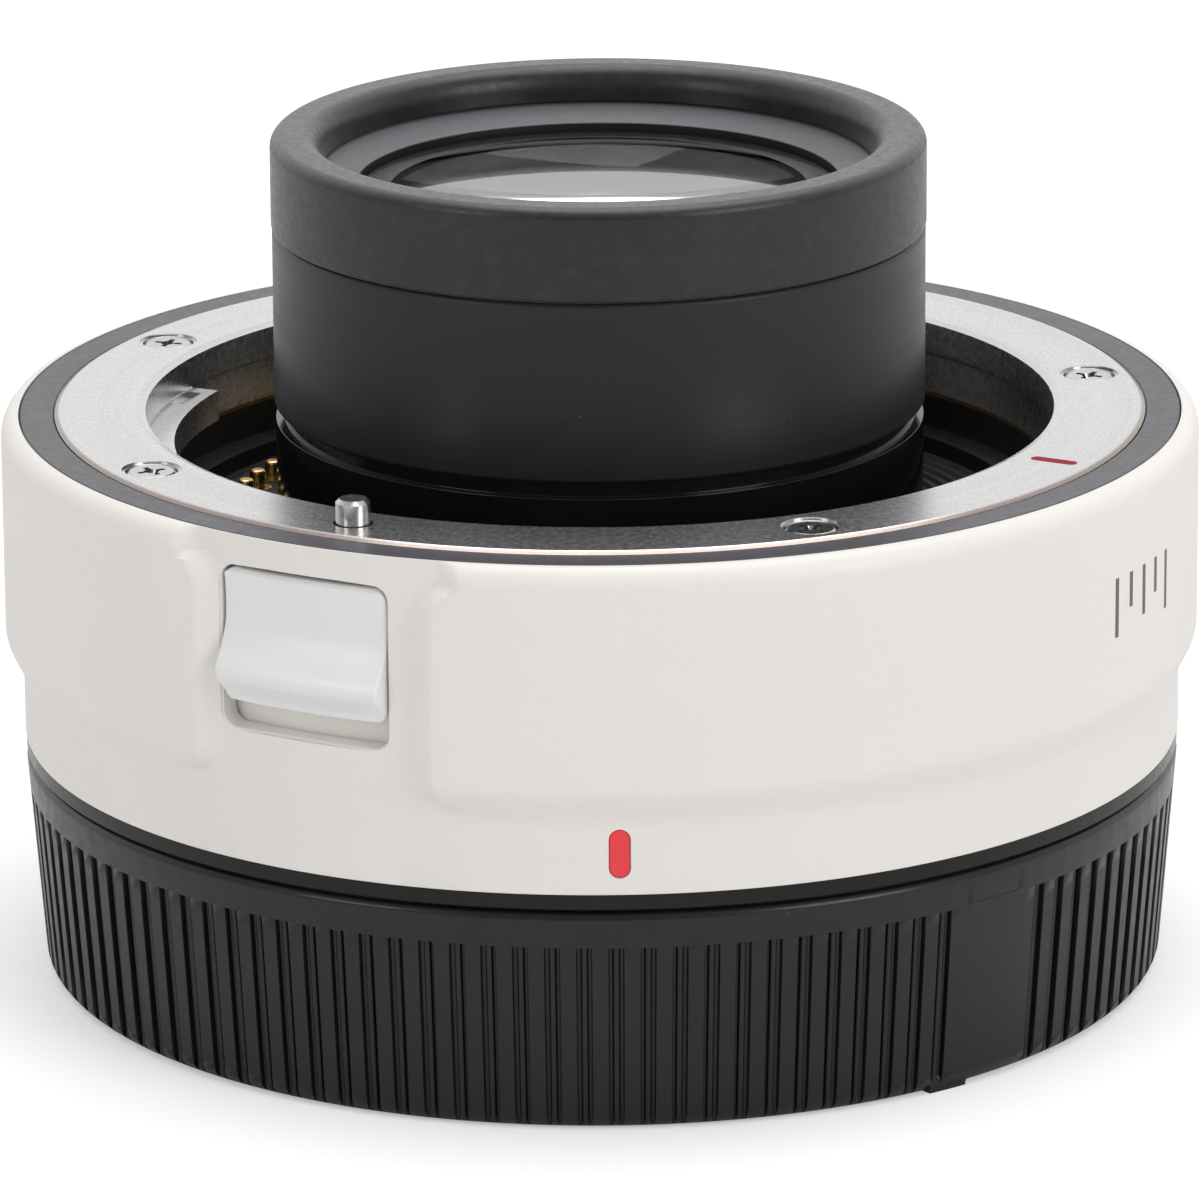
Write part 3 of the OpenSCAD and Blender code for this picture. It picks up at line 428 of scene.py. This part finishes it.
def red_paint():
    made = Finish("red_paint", srgb(236, 58, 66), 0.34)
    made.tint(made.span(made.noise(0.5, 3), 0.4, 0.7, 0.0, 0.6), srgb(226, 50, 58))
    made.vary_rough(made.noise(0.4, 3), 0.05)
    made.bump(made.noise(0.12, 2), 0.005)
    return made


def tick_grey():
    made = Finish("tick_grey", srgb(92, 91, 92), 0.45)
    made.tint(made.span(made.noise(0.4, 3), 0.4, 0.7, 0.0, 0.6), srgb(104, 103, 104))
    made.vary_rough(made.noise(0.4, 3), 0.05)
    made.bump(made.noise(0.1, 2), 0.003)
    return made


MAKERS = (white_paint, white_button, pocket_grey, dark_red, mount_metal, steel, bronze, black_plastic, black_metal, satin_black,
          grey_ring, cone_grey, rubber, cap_plastic, seal_black_and_shade, gold, glass, inner_glass, ring_gloss, board, red_paint, tick_grey)


def dress_nodes(finishes):
    """Gives each node of the frame the finish of its slot."""
    for part in frame["record"]["subparts"]:
        mesh = NODES[part["node"]].data
        look = NODE_LOOKS.get(part["node"], part["material_slot"])
        for index in range(len(mesh.materials)):
            mesh.materials[index] = finishes[look]


NODE_LOOKS = {"weather_seal": "seal_black_and_shade", "front_cone_ring": "cone_grey"}


def at(radius, angle, height):
    """A point in metres from a radius in mm, a direction in degrees and a height in mm."""
    turn = math.radians(angle)
    return Vector((radius * math.cos(turn), radius * math.sin(turn), height)) * MM


def steps(low, high, count):
    return [low + (high - low) * index / count for index in range(count + 1)]


def ease(value):
    """A smooth step from 0 to 1."""
    value = min(1.0, max(0.0, value))
    return value * value * (3 - 2 * value)


def soft(outline, radius=0.08, points=3):
    """Rounds each corner of a closed outline."""
    made = []
    count = len(outline)
    for index, here in enumerate(outline):
        here = Vector(here)
        before, after = Vector(outline[index - 1]), Vector(outline[(index + 1) % count])
        back, on = before - here, after - here
        if back.length < 1e-6 or on.length < 1e-6:
            continue
        if back.angle(on) > math.radians(160):
            made.append(tuple(here))
            continue
        start = here + back.normalized() * min(radius, back.length * 0.45)
        end = here + on.normalized() * min(radius, on.length * 0.45)
        for t in steps(0.0, 1.0, points):
            spot = start * (1 - t) ** 2 + here * (2 * t * (1 - t)) + end * t * t
            made.append(tuple(spot))
    return made


def mesh_object(name, verts, faces, sharp=35.0):
    work = bmesh.new()
    made = [work.verts.new(spot) for spot in verts]
    for face in faces:
        work.faces.new([made[index] for index in face])
    bmesh.ops.remove_doubles(work, verts=work.verts, dist=2e-7)
    bmesh.ops.dissolve_degenerate(work, edges=work.edges, dist=1e-7)
    bmesh.ops.recalc_face_normals(work, faces=work.faces)
    mesh = bpy.data.meshes.new(name)
    work.to_mesh(mesh)
    work.free()
    mesh.shade_smooth()
    mesh.set_sharp_from_angle(angle=math.radians(sharp))
    piece = bpy.data.objects.new(name, mesh)
    bpy.context.scene.collection.objects.link(piece)
    return piece


def sweep(name, outline_at, angles, closed=True, sharp=35.0):
    """A skin through the outlines that stand at the given directions round the axis."""
    verts, faces = [], []
    for angle in angles:
        outline = outline_at(angle)
        verts += [at(radius, angle, height) for radius, height in outline]
    size = len(outline)
    turns = len(angles)
    for turn in range(turns if closed else turns - 1):
        here, there = turn * size, (turn + 1) % turns * size
        for index in range(size):
            on = (index + 1) % size
            faces.append((here + index, there + index, there + on, here + on))
    if not closed:
        faces.append(tuple(range(size)))
        faces.append(tuple((turns - 1) * size + index for index in reversed(range(size))))
    return mesh_object(name, verts, faces, sharp)


def spin(name, outline, count=240, sharp=35.0):
    return sweep(name, lambda angle: outline, [360 * index / count for index in range(count)], sharp=sharp)


def stack(name, loops, sharp=35.0):
    """A closed skin through loops of points, with its two ends filled."""
    size = len(loops[0])
    verts = [spot for loop in loops for spot in loop]
    faces = [tuple(range(size)), tuple((len(loops) - 1) * size + index for index in reversed(range(size)))]
    for level in range(len(loops) - 1):
        for index in range(size):
            on = (index + 1) % size
            low, high = level * size, (level + 1) * size
            faces.append((low + index, low + on, high + on, high + index))
    return mesh_object(name, verts, faces, sharp)


def cut(piece, *cutters):
    """Takes the cutters out of the piece and deletes them."""
    for cutter in cutters:
        tool = piece.modifiers.new("cut", "BOOLEAN")
        tool.operation = "DIFFERENCE"
        tool.solver = "EXACT"
        tool.object = cutter
    mesh = bpy.data.meshes.new_from_object(piece.evaluated_get(bpy.context.evaluated_depsgraph_get()))
    piece.modifiers.clear()
    piece.data = mesh
    for cutter in cutters:
        bpy.data.objects.remove(cutter)
    mesh.shade_smooth()
    mesh.set_sharp_from_angle(angle=math.radians(35))


def place(piece, body, slot, look=None, nodes=()):
    """Gives a piece its finish and its body, and hides the nodes it stands for."""
    piece.data.materials.clear()
    piece.data.materials.append(finishes[look or slot])
    even = piece.modifiers.new("even_normals", "WEIGHTED_NORMAL")
    even.keep_sharp = True
    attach(piece, body)
    if nodes:
        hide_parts(*nodes)
    return piece


def rounded_plate(width, height, corner, grow=0.0, points=8):
    """Corner points of an upright plate, across and up from its middle."""
    across, up, corner = width / 2 + grow, height / 2 + grow, corner + grow
    made = []
    for side, level, first in ((1, 1, 0), (-1, 1, 90), (-1, -1, 180), (1, -1, 270)):
        for angle in steps(first, first + 90, points):
            turn = math.radians(angle)
            made.append((side * (across - corner) + corner * math.cos(turn),
                         level * (up - corner) + corner * math.sin(turn)))
    return made


def wall_cutter(name, wall_r, angle, middle_z, shape, edge, depth):
    """A cutter that stands on a round wall and leaves its edge rounded."""
    levels = [(3.0, edge), (0.0, edge)]
    levels += [(-edge * (1 - math.cos(math.radians(t))), edge * (1 - math.sin(math.radians(t))))
               for t in (18, 36, 54, 72, 90)]
    levels.append((-depth, 0.0))
    turn = Matrix.Rotation(math.radians(angle), 4, "Z")
    loops = []
    for out, grow in levels:
        loops.append([turn @ (Vector((math.sqrt(wall_r ** 2 - across ** 2) + out, across, middle_z + up)) * MM)
                      for across, up in shape(grow)])
    return stack(name, loops)


def pad_share(angle, height):
    """0 on the flat pad beside the slider, 1 on the wide band, whose corners are rounded."""
    away = abs((angle - PIN_A + 180) % 360 - 180)
    corner = 1.7
    near = min(RIM_Z - 1.6 - height, height - LOW_TOP_Z - 1.2)
    past = corner - min(corner, max(0.0, near))
    inward = math.degrees((corner - math.sqrt(corner ** 2 - past ** 2)) / BODY_R)
    return ease((away - PAD_SPAN / 2 + 0.3 - inward) / 2.8)


def band_r(height):
    if height <= LOW_TOP_Z:
        return LOW_R
    if height < COVE_TOP_Z:
        return LOW_R + (BODY_R - LOW_R) * ease((height - LOW_TOP_Z) / (COVE_TOP_Z - LOW_TOP_Z))
    up = (height - (RIM_Z - RIM_ROUND_H)) / RIM_ROUND_H
    if up <= 0:
        return BODY_R
    return RIM_R + (BODY_R - RIM_R) * math.sqrt(max(0.0, 1 - up * up))


def housing():
    """The painted housing: a wide band that slopes down to a flat pad round the slider."""
    heights = [HOUSE_Z + 0.15, *steps(LOW_TOP_Z - 1, LOW_TOP_Z, 2), *steps(LOW_TOP_Z, COVE_TOP_Z, 16)[1:],
               *steps(COVE_TOP_Z, RIM_Z - RIM_ROUND_H, 24)[1:],
               *[RIM_Z - RIM_ROUND_H + RIM_ROUND_H * math.sin(math.radians(t)) for t in steps(0, 90, 12)[1:]]]
    inner = [(TRIM_R + 0.04, RIM_Z), (TRIM_R + 0.04, RIM_Z - TRIM_H), (BORE_R, RIM_Z - TRIM_H),
             (BORE_R, FLANGE_TOP_Z), (REAR_FACE_R + SEAT_GAP, FLANGE_TOP_Z), (REAR_FACE_R + SEAT_GAP, HOUSE_Z)]

    def outline_at(angle):
        outer = [(LOW_R - 0.15, HOUSE_Z), (LOW_R - 0.04, HOUSE_Z + 0.04)]
        for height in heights:
            radius = band_r(height)
            if radius > PAD_R:
                radius = PAD_R + (radius - PAD_R) * pad_share(angle, height)
            outer.append((radius, height))
        return outer + inner

    angles = []
    angle = PIN_A - 180
    while angle < PIN_A + 179.99:
        angles.append(angle)
        away = abs(angle + 0.6 - PIN_A)
        angle += 0.2 if PAD_SPAN / 2 - 1.5 < away < PAD_SPAN / 2 + 5.5 else 1.0
    piece = sweep("housing_shell", outline_at, angles)
    window = wall_cutter("window_cutter", PAD_R, SLIDER_A, (WINDOW_Z + WINDOW_TOP_Z) / 2,
                         lambda grow: rounded_plate(WINDOW_W, WINDOW_TOP_Z - WINDOW_Z, WINDOW_CORNER, grow), 0.12, 4)
    index = wall_cutter("index_cutter", LOW_R, BODY_MARK_A, INDEX_Z,
                        lambda grow: rounded_plate(INDEX_W, INDEX_H, INDEX_W / 2 - 0.001, grow), 0.06, INDEX_DEPTH)
    cut(piece, window, index)
    return place(piece, "converter", "white_paint", nodes=["outer_housing"])


def slider():
    """The release slider: a hollow ramp with a ridge, and the plate behind it."""
    ridge_r, ridge_z = PAD_R + RIDGE_OUT, BUTTON_Z + RIDGE_H
    top_z = BUTTON_TOP_Z
    ramp = []
    for t in steps(0.0, 1.0, 22):
        flare = max(0.0, (t - 0.45) / 0.55) ** 2.2
        ramp.append((PAD_R - 0.03 - 0.12 * math.sin(math.pi * min(1, t * 1.4)) + (RIDGE_OUT + 0.1) * flare,
                     top_z - 0.25 - (top_z - 0.25 - ridge_z - 0.1) * t))
    profile = [(BUTTON_FOOT_R, BUTTON_Z), (PAD_R - 0.25, BUTTON_Z), (PAD_R - 0.07, BUTTON_Z + 0.07),
               (PAD_R, BUTTON_Z + 0.25), (PAD_R + 0.1, BUTTON_Z + 0.55)]
    ramp = ramp[:-2]
    start, tip, end = Vector((ridge_r - 0.26, ridge_z - 0.7)), Vector((ridge_r + 0.2, ridge_z - 0.22)), Vector(ramp[-1])
    profile += [tuple(start * (1 - t) ** 2 + tip * (2 * t * (1 - t)) + end * t * t) for t in steps(0.0, 1.0, 8)[:-1]]
    profile += list(reversed(ramp))
    profile += [(PAD_R - 0.14, top_z - 0.12), (PAD_R - 0.24, top_z - 0.03), (PAD_R - 0.36, top_z), (BUTTON_FOOT_R, top_z)]
    half, edge = BUTTON_W / 2, 0.2
    across = [-half + edge * (1 - math.cos(math.radians(t))) for t in steps(0, 90, 6)]
    across += steps(-half + edge, -half + BUTTON_CORNER + 0.2, 4)[1:]
    across += steps(-half + BUTTON_CORNER + 0.2, 0, 10)[1:]
    across += [-value for value in reversed(across[:-1])]
    turn = Matrix.Rotation(math.radians(SLIDER_A), 4, "Z")
    loops = []
    for value in across:
        past = max(0.0, abs(value) - half + edge)
        drop = edge - math.sqrt(max(0.0, edge * edge - past * past))
        past = max(0.0, abs(value) - half + BUTTON_CORNER)
        clip = BUTTON_CORNER - math.sqrt(max(0.0, BUTTON_CORNER ** 2 - past * past))
        loop = []
        for radius, height in profile:
            if radius > PAD_R - 1:
                radius -= drop
            height = min(max(height, BUTTON_Z + clip), top_z - clip)
            loop.append(turn @ (Vector((math.sqrt(radius ** 2 - value ** 2), value, height)) * MM))
        loops.append(loop)
    place(stack("slider_button", loops, 40), "release_slider", "white_button", nodes=["release_slider"])
    plate = soft([(PLATE_IN_R, PLATE_Z), (PLATE_R, PLATE_Z), (PLATE_R, PLATE_TOP_Z), (PLATE_IN_R, PLATE_TOP_Z)])
    first, last = SLIDER_A - PLATE_SPAN / 2, SLIDER_A + PLATE_SPAN / 2
    place(sweep("slider_plate", lambda angle: plate, steps(first, last, 24), closed=False),
          "release_slider", "white_button", "pocket_grey")


def cap_side_r(height):
    return CAP_BOTTOM_R + (CAP_TOP_R - CAP_BOTTOM_R) * (height - CAP_ROUND) / (CAP_RIM_Z - CAP_SHOULDER - CAP_ROUND)


def cap():
    """The rear cap with grooves that run through its rounded bottom edge."""
    pitch = (360 - SMOOTH_SPAN) / RIB_COUNT
    half = math.degrees(GROOVE_W / 2 / CAP_TOP_R)
    slope = 0.07
    marks = [(-half - slope, 0.0), (-half - slope * 0.3, 0.1), (-half, 0.9), (-half * 0.85, 1.0),
             (-half * 0.55, 1.0), (-half * 0.42, 0.6), (-half * 0.25, 0.45), (half * 0.25, 0.45),
             (half * 0.42, 0.6), (half * 0.55, 1.0), (half * 0.85, 1.0), (half, 0.9),
             (half + slope * 0.3, 0.1), (half + slope, 0.0)]
    columns = []
    for rib in range(RIB_COUNT):
        middle = SMOOTH_A + SMOOTH_SPAN / 2 + pitch * (rib + 0.5)
        columns += [(middle + off, share) for off, share in marks]
    columns += [(SMOOTH_A + off, 0.0) for off in steps(-SMOOTH_SPAN / 2 + 0.5, SMOOTH_SPAN / 2 - 0.5, 18)]
    columns.sort(key=lambda column: (column[0] - SMOOTH_A) % 360)
    corner = [(CAP_BOTTOM_R - CAP_ROUND + CAP_ROUND * math.sin(math.radians(t)),
               CAP_ROUND - CAP_ROUND * math.cos(math.radians(t))) for t in steps(0, 90, 8)]
    side = [(cap_side_r(height), height) for height in (3, 5, 7, 9, 10.4, RIB_TOP_Z - 0.03)]
    top = [(cap_side_r(RIB_TOP_Z + up), RIB_TOP_Z + up) for up in (0.0, 0.03, 0.13, 0.16)]
    shoulder = [(CAP_TOP_R - CAP_SHOULDER + CAP_SHOULDER * math.cos(math.radians(t)),
                 CAP_RIM_Z - CAP_SHOULDER + CAP_SHOULDER * math.sin(math.radians(t))) for t in steps(0, 90, 7)]
    inner = soft([(CAP_TOP_R - 1.7, CAP_RIM_Z), (CAP_BOTTOM_R - 1.8, CAP_FLOOR_Z + 0.6),
                  (CAP_BOTTOM_R - 2.4, CAP_FLOOR_Z), (CAP_INNER_R + 1.4, CAP_FLOOR_Z),
                  (CAP_INNER_R + 1.4, REAR_Z - 0.5), (CAP_INNER_R, REAR_Z - 0.5), (CAP_INNER_R, CAP_FLOOR_Z + 0.8),
                  (CAP_INNER_R - 0.8, CAP_FLOOR_Z)], 0.12)
    depths = {round(angle, 6): share for angle, share in columns}

    def outline_at(angle):
        share = depths[round(angle, 6)]
        away = (angle - SMOOTH_A + 180) % 360 - 180
        line = 0.05 if abs(away) < SMOOTH_SPAN / 2 - 1.2 else 0.0
        lug = abs(away - LUG_TURN) < LUG_SPAN / 2
        made = [(0.0, 0.0)]
        for radius, height in corner + side:
            radius = min(radius, cap_side_r(height) - GROOVE_DEPTH * share)
            if lug and height < 0.9:
                radius = max(radius, CAP_BOTTOM_R - 0.2)
            made.append((radius, height))
        for (radius, height), raised in zip(top, (0, 1, 1, 0)):
            made.append((radius + line * raised, height))
        return made + shoulder + inner + [(0.0, CAP_FLOOR_Z)]

    piece = sweep("cap_body", outline_at, [angle for angle, share in columns], sharp=50)
    place(piece, "rear_cap", "cap_plastic", nodes=["rear_cap"])
    tab = soft([(SPIGOT_R + 0.25, TAB_Z), (CAP_INNER_R + 0.1, TAB_Z), (CAP_INNER_R + 0.1, TAB_TOP_Z),
                (SPIGOT_R + 0.25, TAB_TOP_Z)], 0.15)
    for index, angle in enumerate(TAB_ANGLES):
        piece = sweep("cap_tab_%d" % (index + 1), lambda turn: tab,
                      steps(angle - TAB_SPAN / 2, angle + TAB_SPAN / 2, 26), closed=False)
        place(piece, "rear_cap", "cap_plastic")


def arc_points(x, z, radius, first, last, count=10):
    return [(x + radius * math.cos(math.radians(t)), z + radius * math.sin(math.radians(t)))
            for t in steps(first, last, count)]


def sag(sphere, radius):
    return 0.0 if sphere == 0 else (abs(sphere) - math.sqrt(sphere ** 2 - radius ** 2)) * math.copysign(1, sphere)


def nose():
    """Rubber ring, cone, sleeve, barrel and the front ring that holds the glass."""
    lip_out, lip_w, lip_h = 0.7, 1.15, 1.5
    lip = [(RUBBER_IN_R + lip_w - lip_w * math.sin(math.radians(t)), NOSE_Z - lip_h + lip_h * math.cos(math.radians(t)))
           for t in steps(0, 90, 14)]
    ring = [(CELL_R + SEAT_GAP, SLEEVE_TOP_Z), (RUBBER_R - 0.25, SLEEVE_TOP_Z), (RUBBER_R - 0.07, SLEEVE_TOP_Z + 0.08),
            (RUBBER_R, SLEEVE_TOP_Z + 0.26), *arc_points(RUBBER_R - lip_out, NOSE_Z - lip_out, lip_out, 0, 90), *lip,
            (RUBBER_IN_R, CONE_TOP_Z + 0.03), (CELL_R + SEAT_GAP, CONE_TOP_Z + 0.03)]
    place(spin("rubber_ring", ring), "converter", "rubber", nodes=["front_rubber_ring"])
    cone = soft([(CONE_IN_R + 0.2, RETAINER_TOP_Z), (CELL_R, RETAINER_TOP_Z), (CELL_R, CONE_TOP_Z),
                 (CONE_OUT_R, CONE_TOP_Z), (CONE_IN_R, CONE_TOP_Z - 0.84), (CONE_IN_R, CONE_TOP_Z - 0.94),
                 (CONE_IN_R + 0.2, CONE_TOP_Z - 0.94)], 0.04)
    place(spin("cone_ring", cone), "converter", "grey_ring", "cone_grey", nodes=["front_cone_ring"])
    liner = [(CONE_IN_R + 0.02, RETAINER_TOP_Z), (CONE_IN_R + 0.18, RETAINER_TOP_Z),
             (CONE_IN_R + 0.18, CONE_TOP_Z - 0.96), (CONE_IN_R + 0.02, CONE_TOP_Z - 0.96)]
    place(spin("cone_liner", soft(liner, 0.03)), "converter", "black_plastic")
    holder = [(FRONT_CLEAR_R, GLASS_EDGE_Z + 0.01), (GLASS_R + 0.8, GLASS_EDGE_Z + 0.01), (CONE_IN_R, RETAINER_TOP_Z + 0.03),
              (CONE_IN_R - 0.05, RETAINER_TOP_Z + 0.1), (FRONT_CLEAR_R + 0.1, RETAINER_TOP_Z - 0.36),
              (FRONT_CLEAR_R, RETAINER_TOP_Z - 0.41)]
    place(spin("retaining_ring", soft(holder, 0.03)), "converter", "black_metal", "ring_gloss",
          nodes=["front_retaining_ring"])
    sleeve = soft([(CELL_R + SEAT_GAP, SLEEVE_Z), (NOSE_R - 0.25, SLEEVE_Z), (NOSE_R, SLEEVE_Z + 0.25),
                   (NOSE_R, SLEEVE_TOP_Z - 0.2), (NOSE_R - 0.2, SLEEVE_TOP_Z), (CELL_R + SEAT_GAP, SLEEVE_TOP_Z)], 0.08)
    place(spin("sleeve", sleeve), "converter", "satin_black", nodes=["nose_sleeve"])
    place(spin("barrel", soft(BARREL, 0.035)), "converter", "black_metal", nodes=["lens_barrel"])


def marks():
    """The two red marks: one in the housing's pocket, one on the metal face."""
    turn = Matrix.Rotation(math.radians(BODY_MARK_A), 4, "Z")
    loops = []
    for radius, gap in ((LOW_R - INDEX_DEPTH, 0.03), (LOW_R - 0.14, 0.03), (LOW_R - 0.09, 0.08)):
        shape = rounded_plate(INDEX_W, INDEX_H, INDEX_W / 2 - 0.001, -gap)
        loops.append([turn @ (Vector((radius, across, INDEX_Z + up)) * MM) for across, up in shape])
    place(stack("housing_mark", loops), "converter", "red_paint", nodes=["housing_index_mark"])
    turn = Matrix.Rotation(math.radians(MARK_A), 4, "Z")
    loops = []
    for height, gap in ((FRONT_Z - 0.15, 0.0), (FRONT_Z + 0.004, 0.0), (FRONT_Z + 0.012, 0.02)):
        shape = rounded_plate(FACE_MARK_W, FACE_MARK_LENGTH, FACE_MARK_W / 2 - 0.001, -gap)
        loops.append([turn @ (Vector((FACE_MARK_R + up, across, height)) * MM) for across, up in shape])
    place(stack("face_mark", loops), "converter", "red_paint", "dark_red", nodes=["mount_index_mark"])


def lenses():
    """The seven glass elements with fine round faces."""
    for name, low_z, high_z, low_s, high_s, radius in LENSES:
        low = [(radius * t, low_z + sag(low_s, radius * t)) for t in steps(0, 1, 40)]
        high = [(radius * t, high_z + sag(high_s, radius * t)) for t in steps(1, 0, 40)]
        if name == "lens_1":
            high = [(radius, GLASS_EDGE_Z - 0.03), (FRONT_CLEAR_R - 0.05, GLASS_EDGE_Z - 0.03)]
            high += [(GLASS_FLAT_R * t, FACE_Z + sag(high_s, GLASS_FLAT_R * t)) for t in steps(1, 0, 40)]
        place(spin(name + "_glass", low + high, 160), "converter", "glass",
              "glass" if name == "lens_1" else "inner_glass", nodes=[name])


def ticks():
    """A short plain scale of strokes where the photograph has a marking."""
    for index, low in enumerate((24.95, 26.4, 25.5, 26.4, 24.95)):
        angle = -33.4 + 2.7 * index
        stroke = [(BODY_R - 0.05, low), (BODY_R + 0.012, low), (BODY_R + 0.012, 28.5), (BODY_R - 0.05, 28.5)]
        piece = sweep("scale_tick_%d" % (index + 1), lambda turn: stroke, steps(angle - 0.3, angle + 0.3, 4), closed=False)
        place(piece, "converter", "black_plastic", "tick_grey")


def floor_and_light():
    """A pale floor that keeps the shadow, and soft light at a plain level."""
    bpy.context.scene.view_settings.view_transform = "Standard"
    bpy.ops.mesh.primitive_plane_add(size=6, location=(0, 0, 0))
    floor = bpy.context.object
    floor.name = "floor"
    mat = bpy.data.materials.new("pale_floor")
    mat.use_nodes = True
    nodes, links = mat.node_tree.nodes, mat.node_tree.links
    shader = nodes["Principled BSDF"]
    shader.inputs["Base Color"].default_value = (0.8, 0.8, 0.8, 1)
    shader.inputs["Roughness"].default_value = 0.9
    shader.inputs["Specular IOR Level"].default_value = 0.0
    glow = nodes.new("ShaderNodeEmission")
    path = nodes.new("ShaderNodeLightPath")
    seen = nodes.new("ShaderNodeMath")
    seen.operation = "MULTIPLY"
    links.new(path.outputs["Is Camera Ray"], seen.inputs[0])
    seen.inputs[1].default_value = FLOOR_GLOW
    links.new(seen.outputs[0], glow.inputs["Strength"])
    both = nodes.new("ShaderNodeAddShader")
    links.new(shader.outputs[0], both.inputs[0])
    links.new(glow.outputs[0], both.inputs[1])
    links.new(both.outputs[0], nodes["Material Output"].inputs["Surface"])
    floor.data.materials.append(mat)

    world = bpy.data.worlds.new("studio")
    bpy.context.scene.world = world
    world.use_nodes = True
    nodes, links = world.node_tree.nodes, world.node_tree.links
    back = nodes["Background"]
    back.inputs["Color"].default_value = (1, 1, 1, 1)
    path = nodes.new("ShaderNodeLightPath")
    seen = nodes.new("ShaderNodeMath")
    seen.operation = "MAXIMUM"
    links.new(path.outputs["Is Camera Ray"], seen.inputs[0])
    links.new(path.outputs["Is Glossy Ray"], seen.inputs[1])
    also = nodes.new("ShaderNodeMath")
    also.operation = "MAXIMUM"
    links.new(seen.outputs[0], also.inputs[0])
    links.new(path.outputs["Is Transmission Ray"], also.inputs[1])
    # Gloss sees a white room with a darker side where the camera stands
    way = nodes.new("ShaderNodeTexCoord")
    parts = nodes.new("ShaderNodeSeparateXYZ")
    links.new(way.outputs["Generated"], parts.inputs[0])
    shade = nodes.new("ShaderNodeMapRange")
    links.new(parts.outputs["Y"], shade.inputs["Value"])
    for key, value in (("From Min", -0.3), ("From Max", 0.5), ("To Min", ROOM_FRONT), ("To Max", 1.0)):
        shade.inputs[key].default_value = value
    either = nodes.new("ShaderNodeMath")
    either.operation = "MAXIMUM"
    links.new(shade.outputs[0], either.inputs[0])
    links.new(path.outputs["Is Camera Ray"], either.inputs[1])
    level = nodes.new("ShaderNodeMix")
    links.new(also.outputs[0], level.inputs[0])
    level.inputs[2].default_value = ROOM_LIGHT
    links.new(either.outputs[0], level.inputs[3])
    links.new(level.outputs[0], back.inputs["Strength"])

    def softbox(name, place, size, power, height=None):
        data = bpy.data.lights.new(name, "AREA")
        data.shape = "RECTANGLE"
        data.size = size
        data.size_y = height or size
        data.energy = power
        lamp = bpy.data.objects.new(name, data)
        lamp.location = place
        aim = Vector((0, 0, 0.03)) - Vector(place)
        lamp.rotation_euler = aim.to_track_quat("-Z", "Y").to_euler()
        bpy.context.scene.collection.objects.link(lamp)

    softbox("top_softbox", (0.05, 0.1, 0.7), 0.6, 2.6)
    softbox("left_softbox", (-0.6, -0.5, 0.35), 0.3, 0.8)
    softbox("right_softbox", (0.65, -0.55, 0.4), 0.42, 2.2)
    # A small strip of light that the front glass shows as a thin white arc
    softbox("back_strip", (0.0, 0.8, 0.265), 0.065, 0.008, 0.007)


make_camera()
finishes = {}
for maker in MAKERS:
    made = maker()
    finishes[made.slot] = made.mat
dress_nodes(finishes)
housing()
slider()
cap()
nose()
lenses()
marks()
ticks()
floor_and_light()
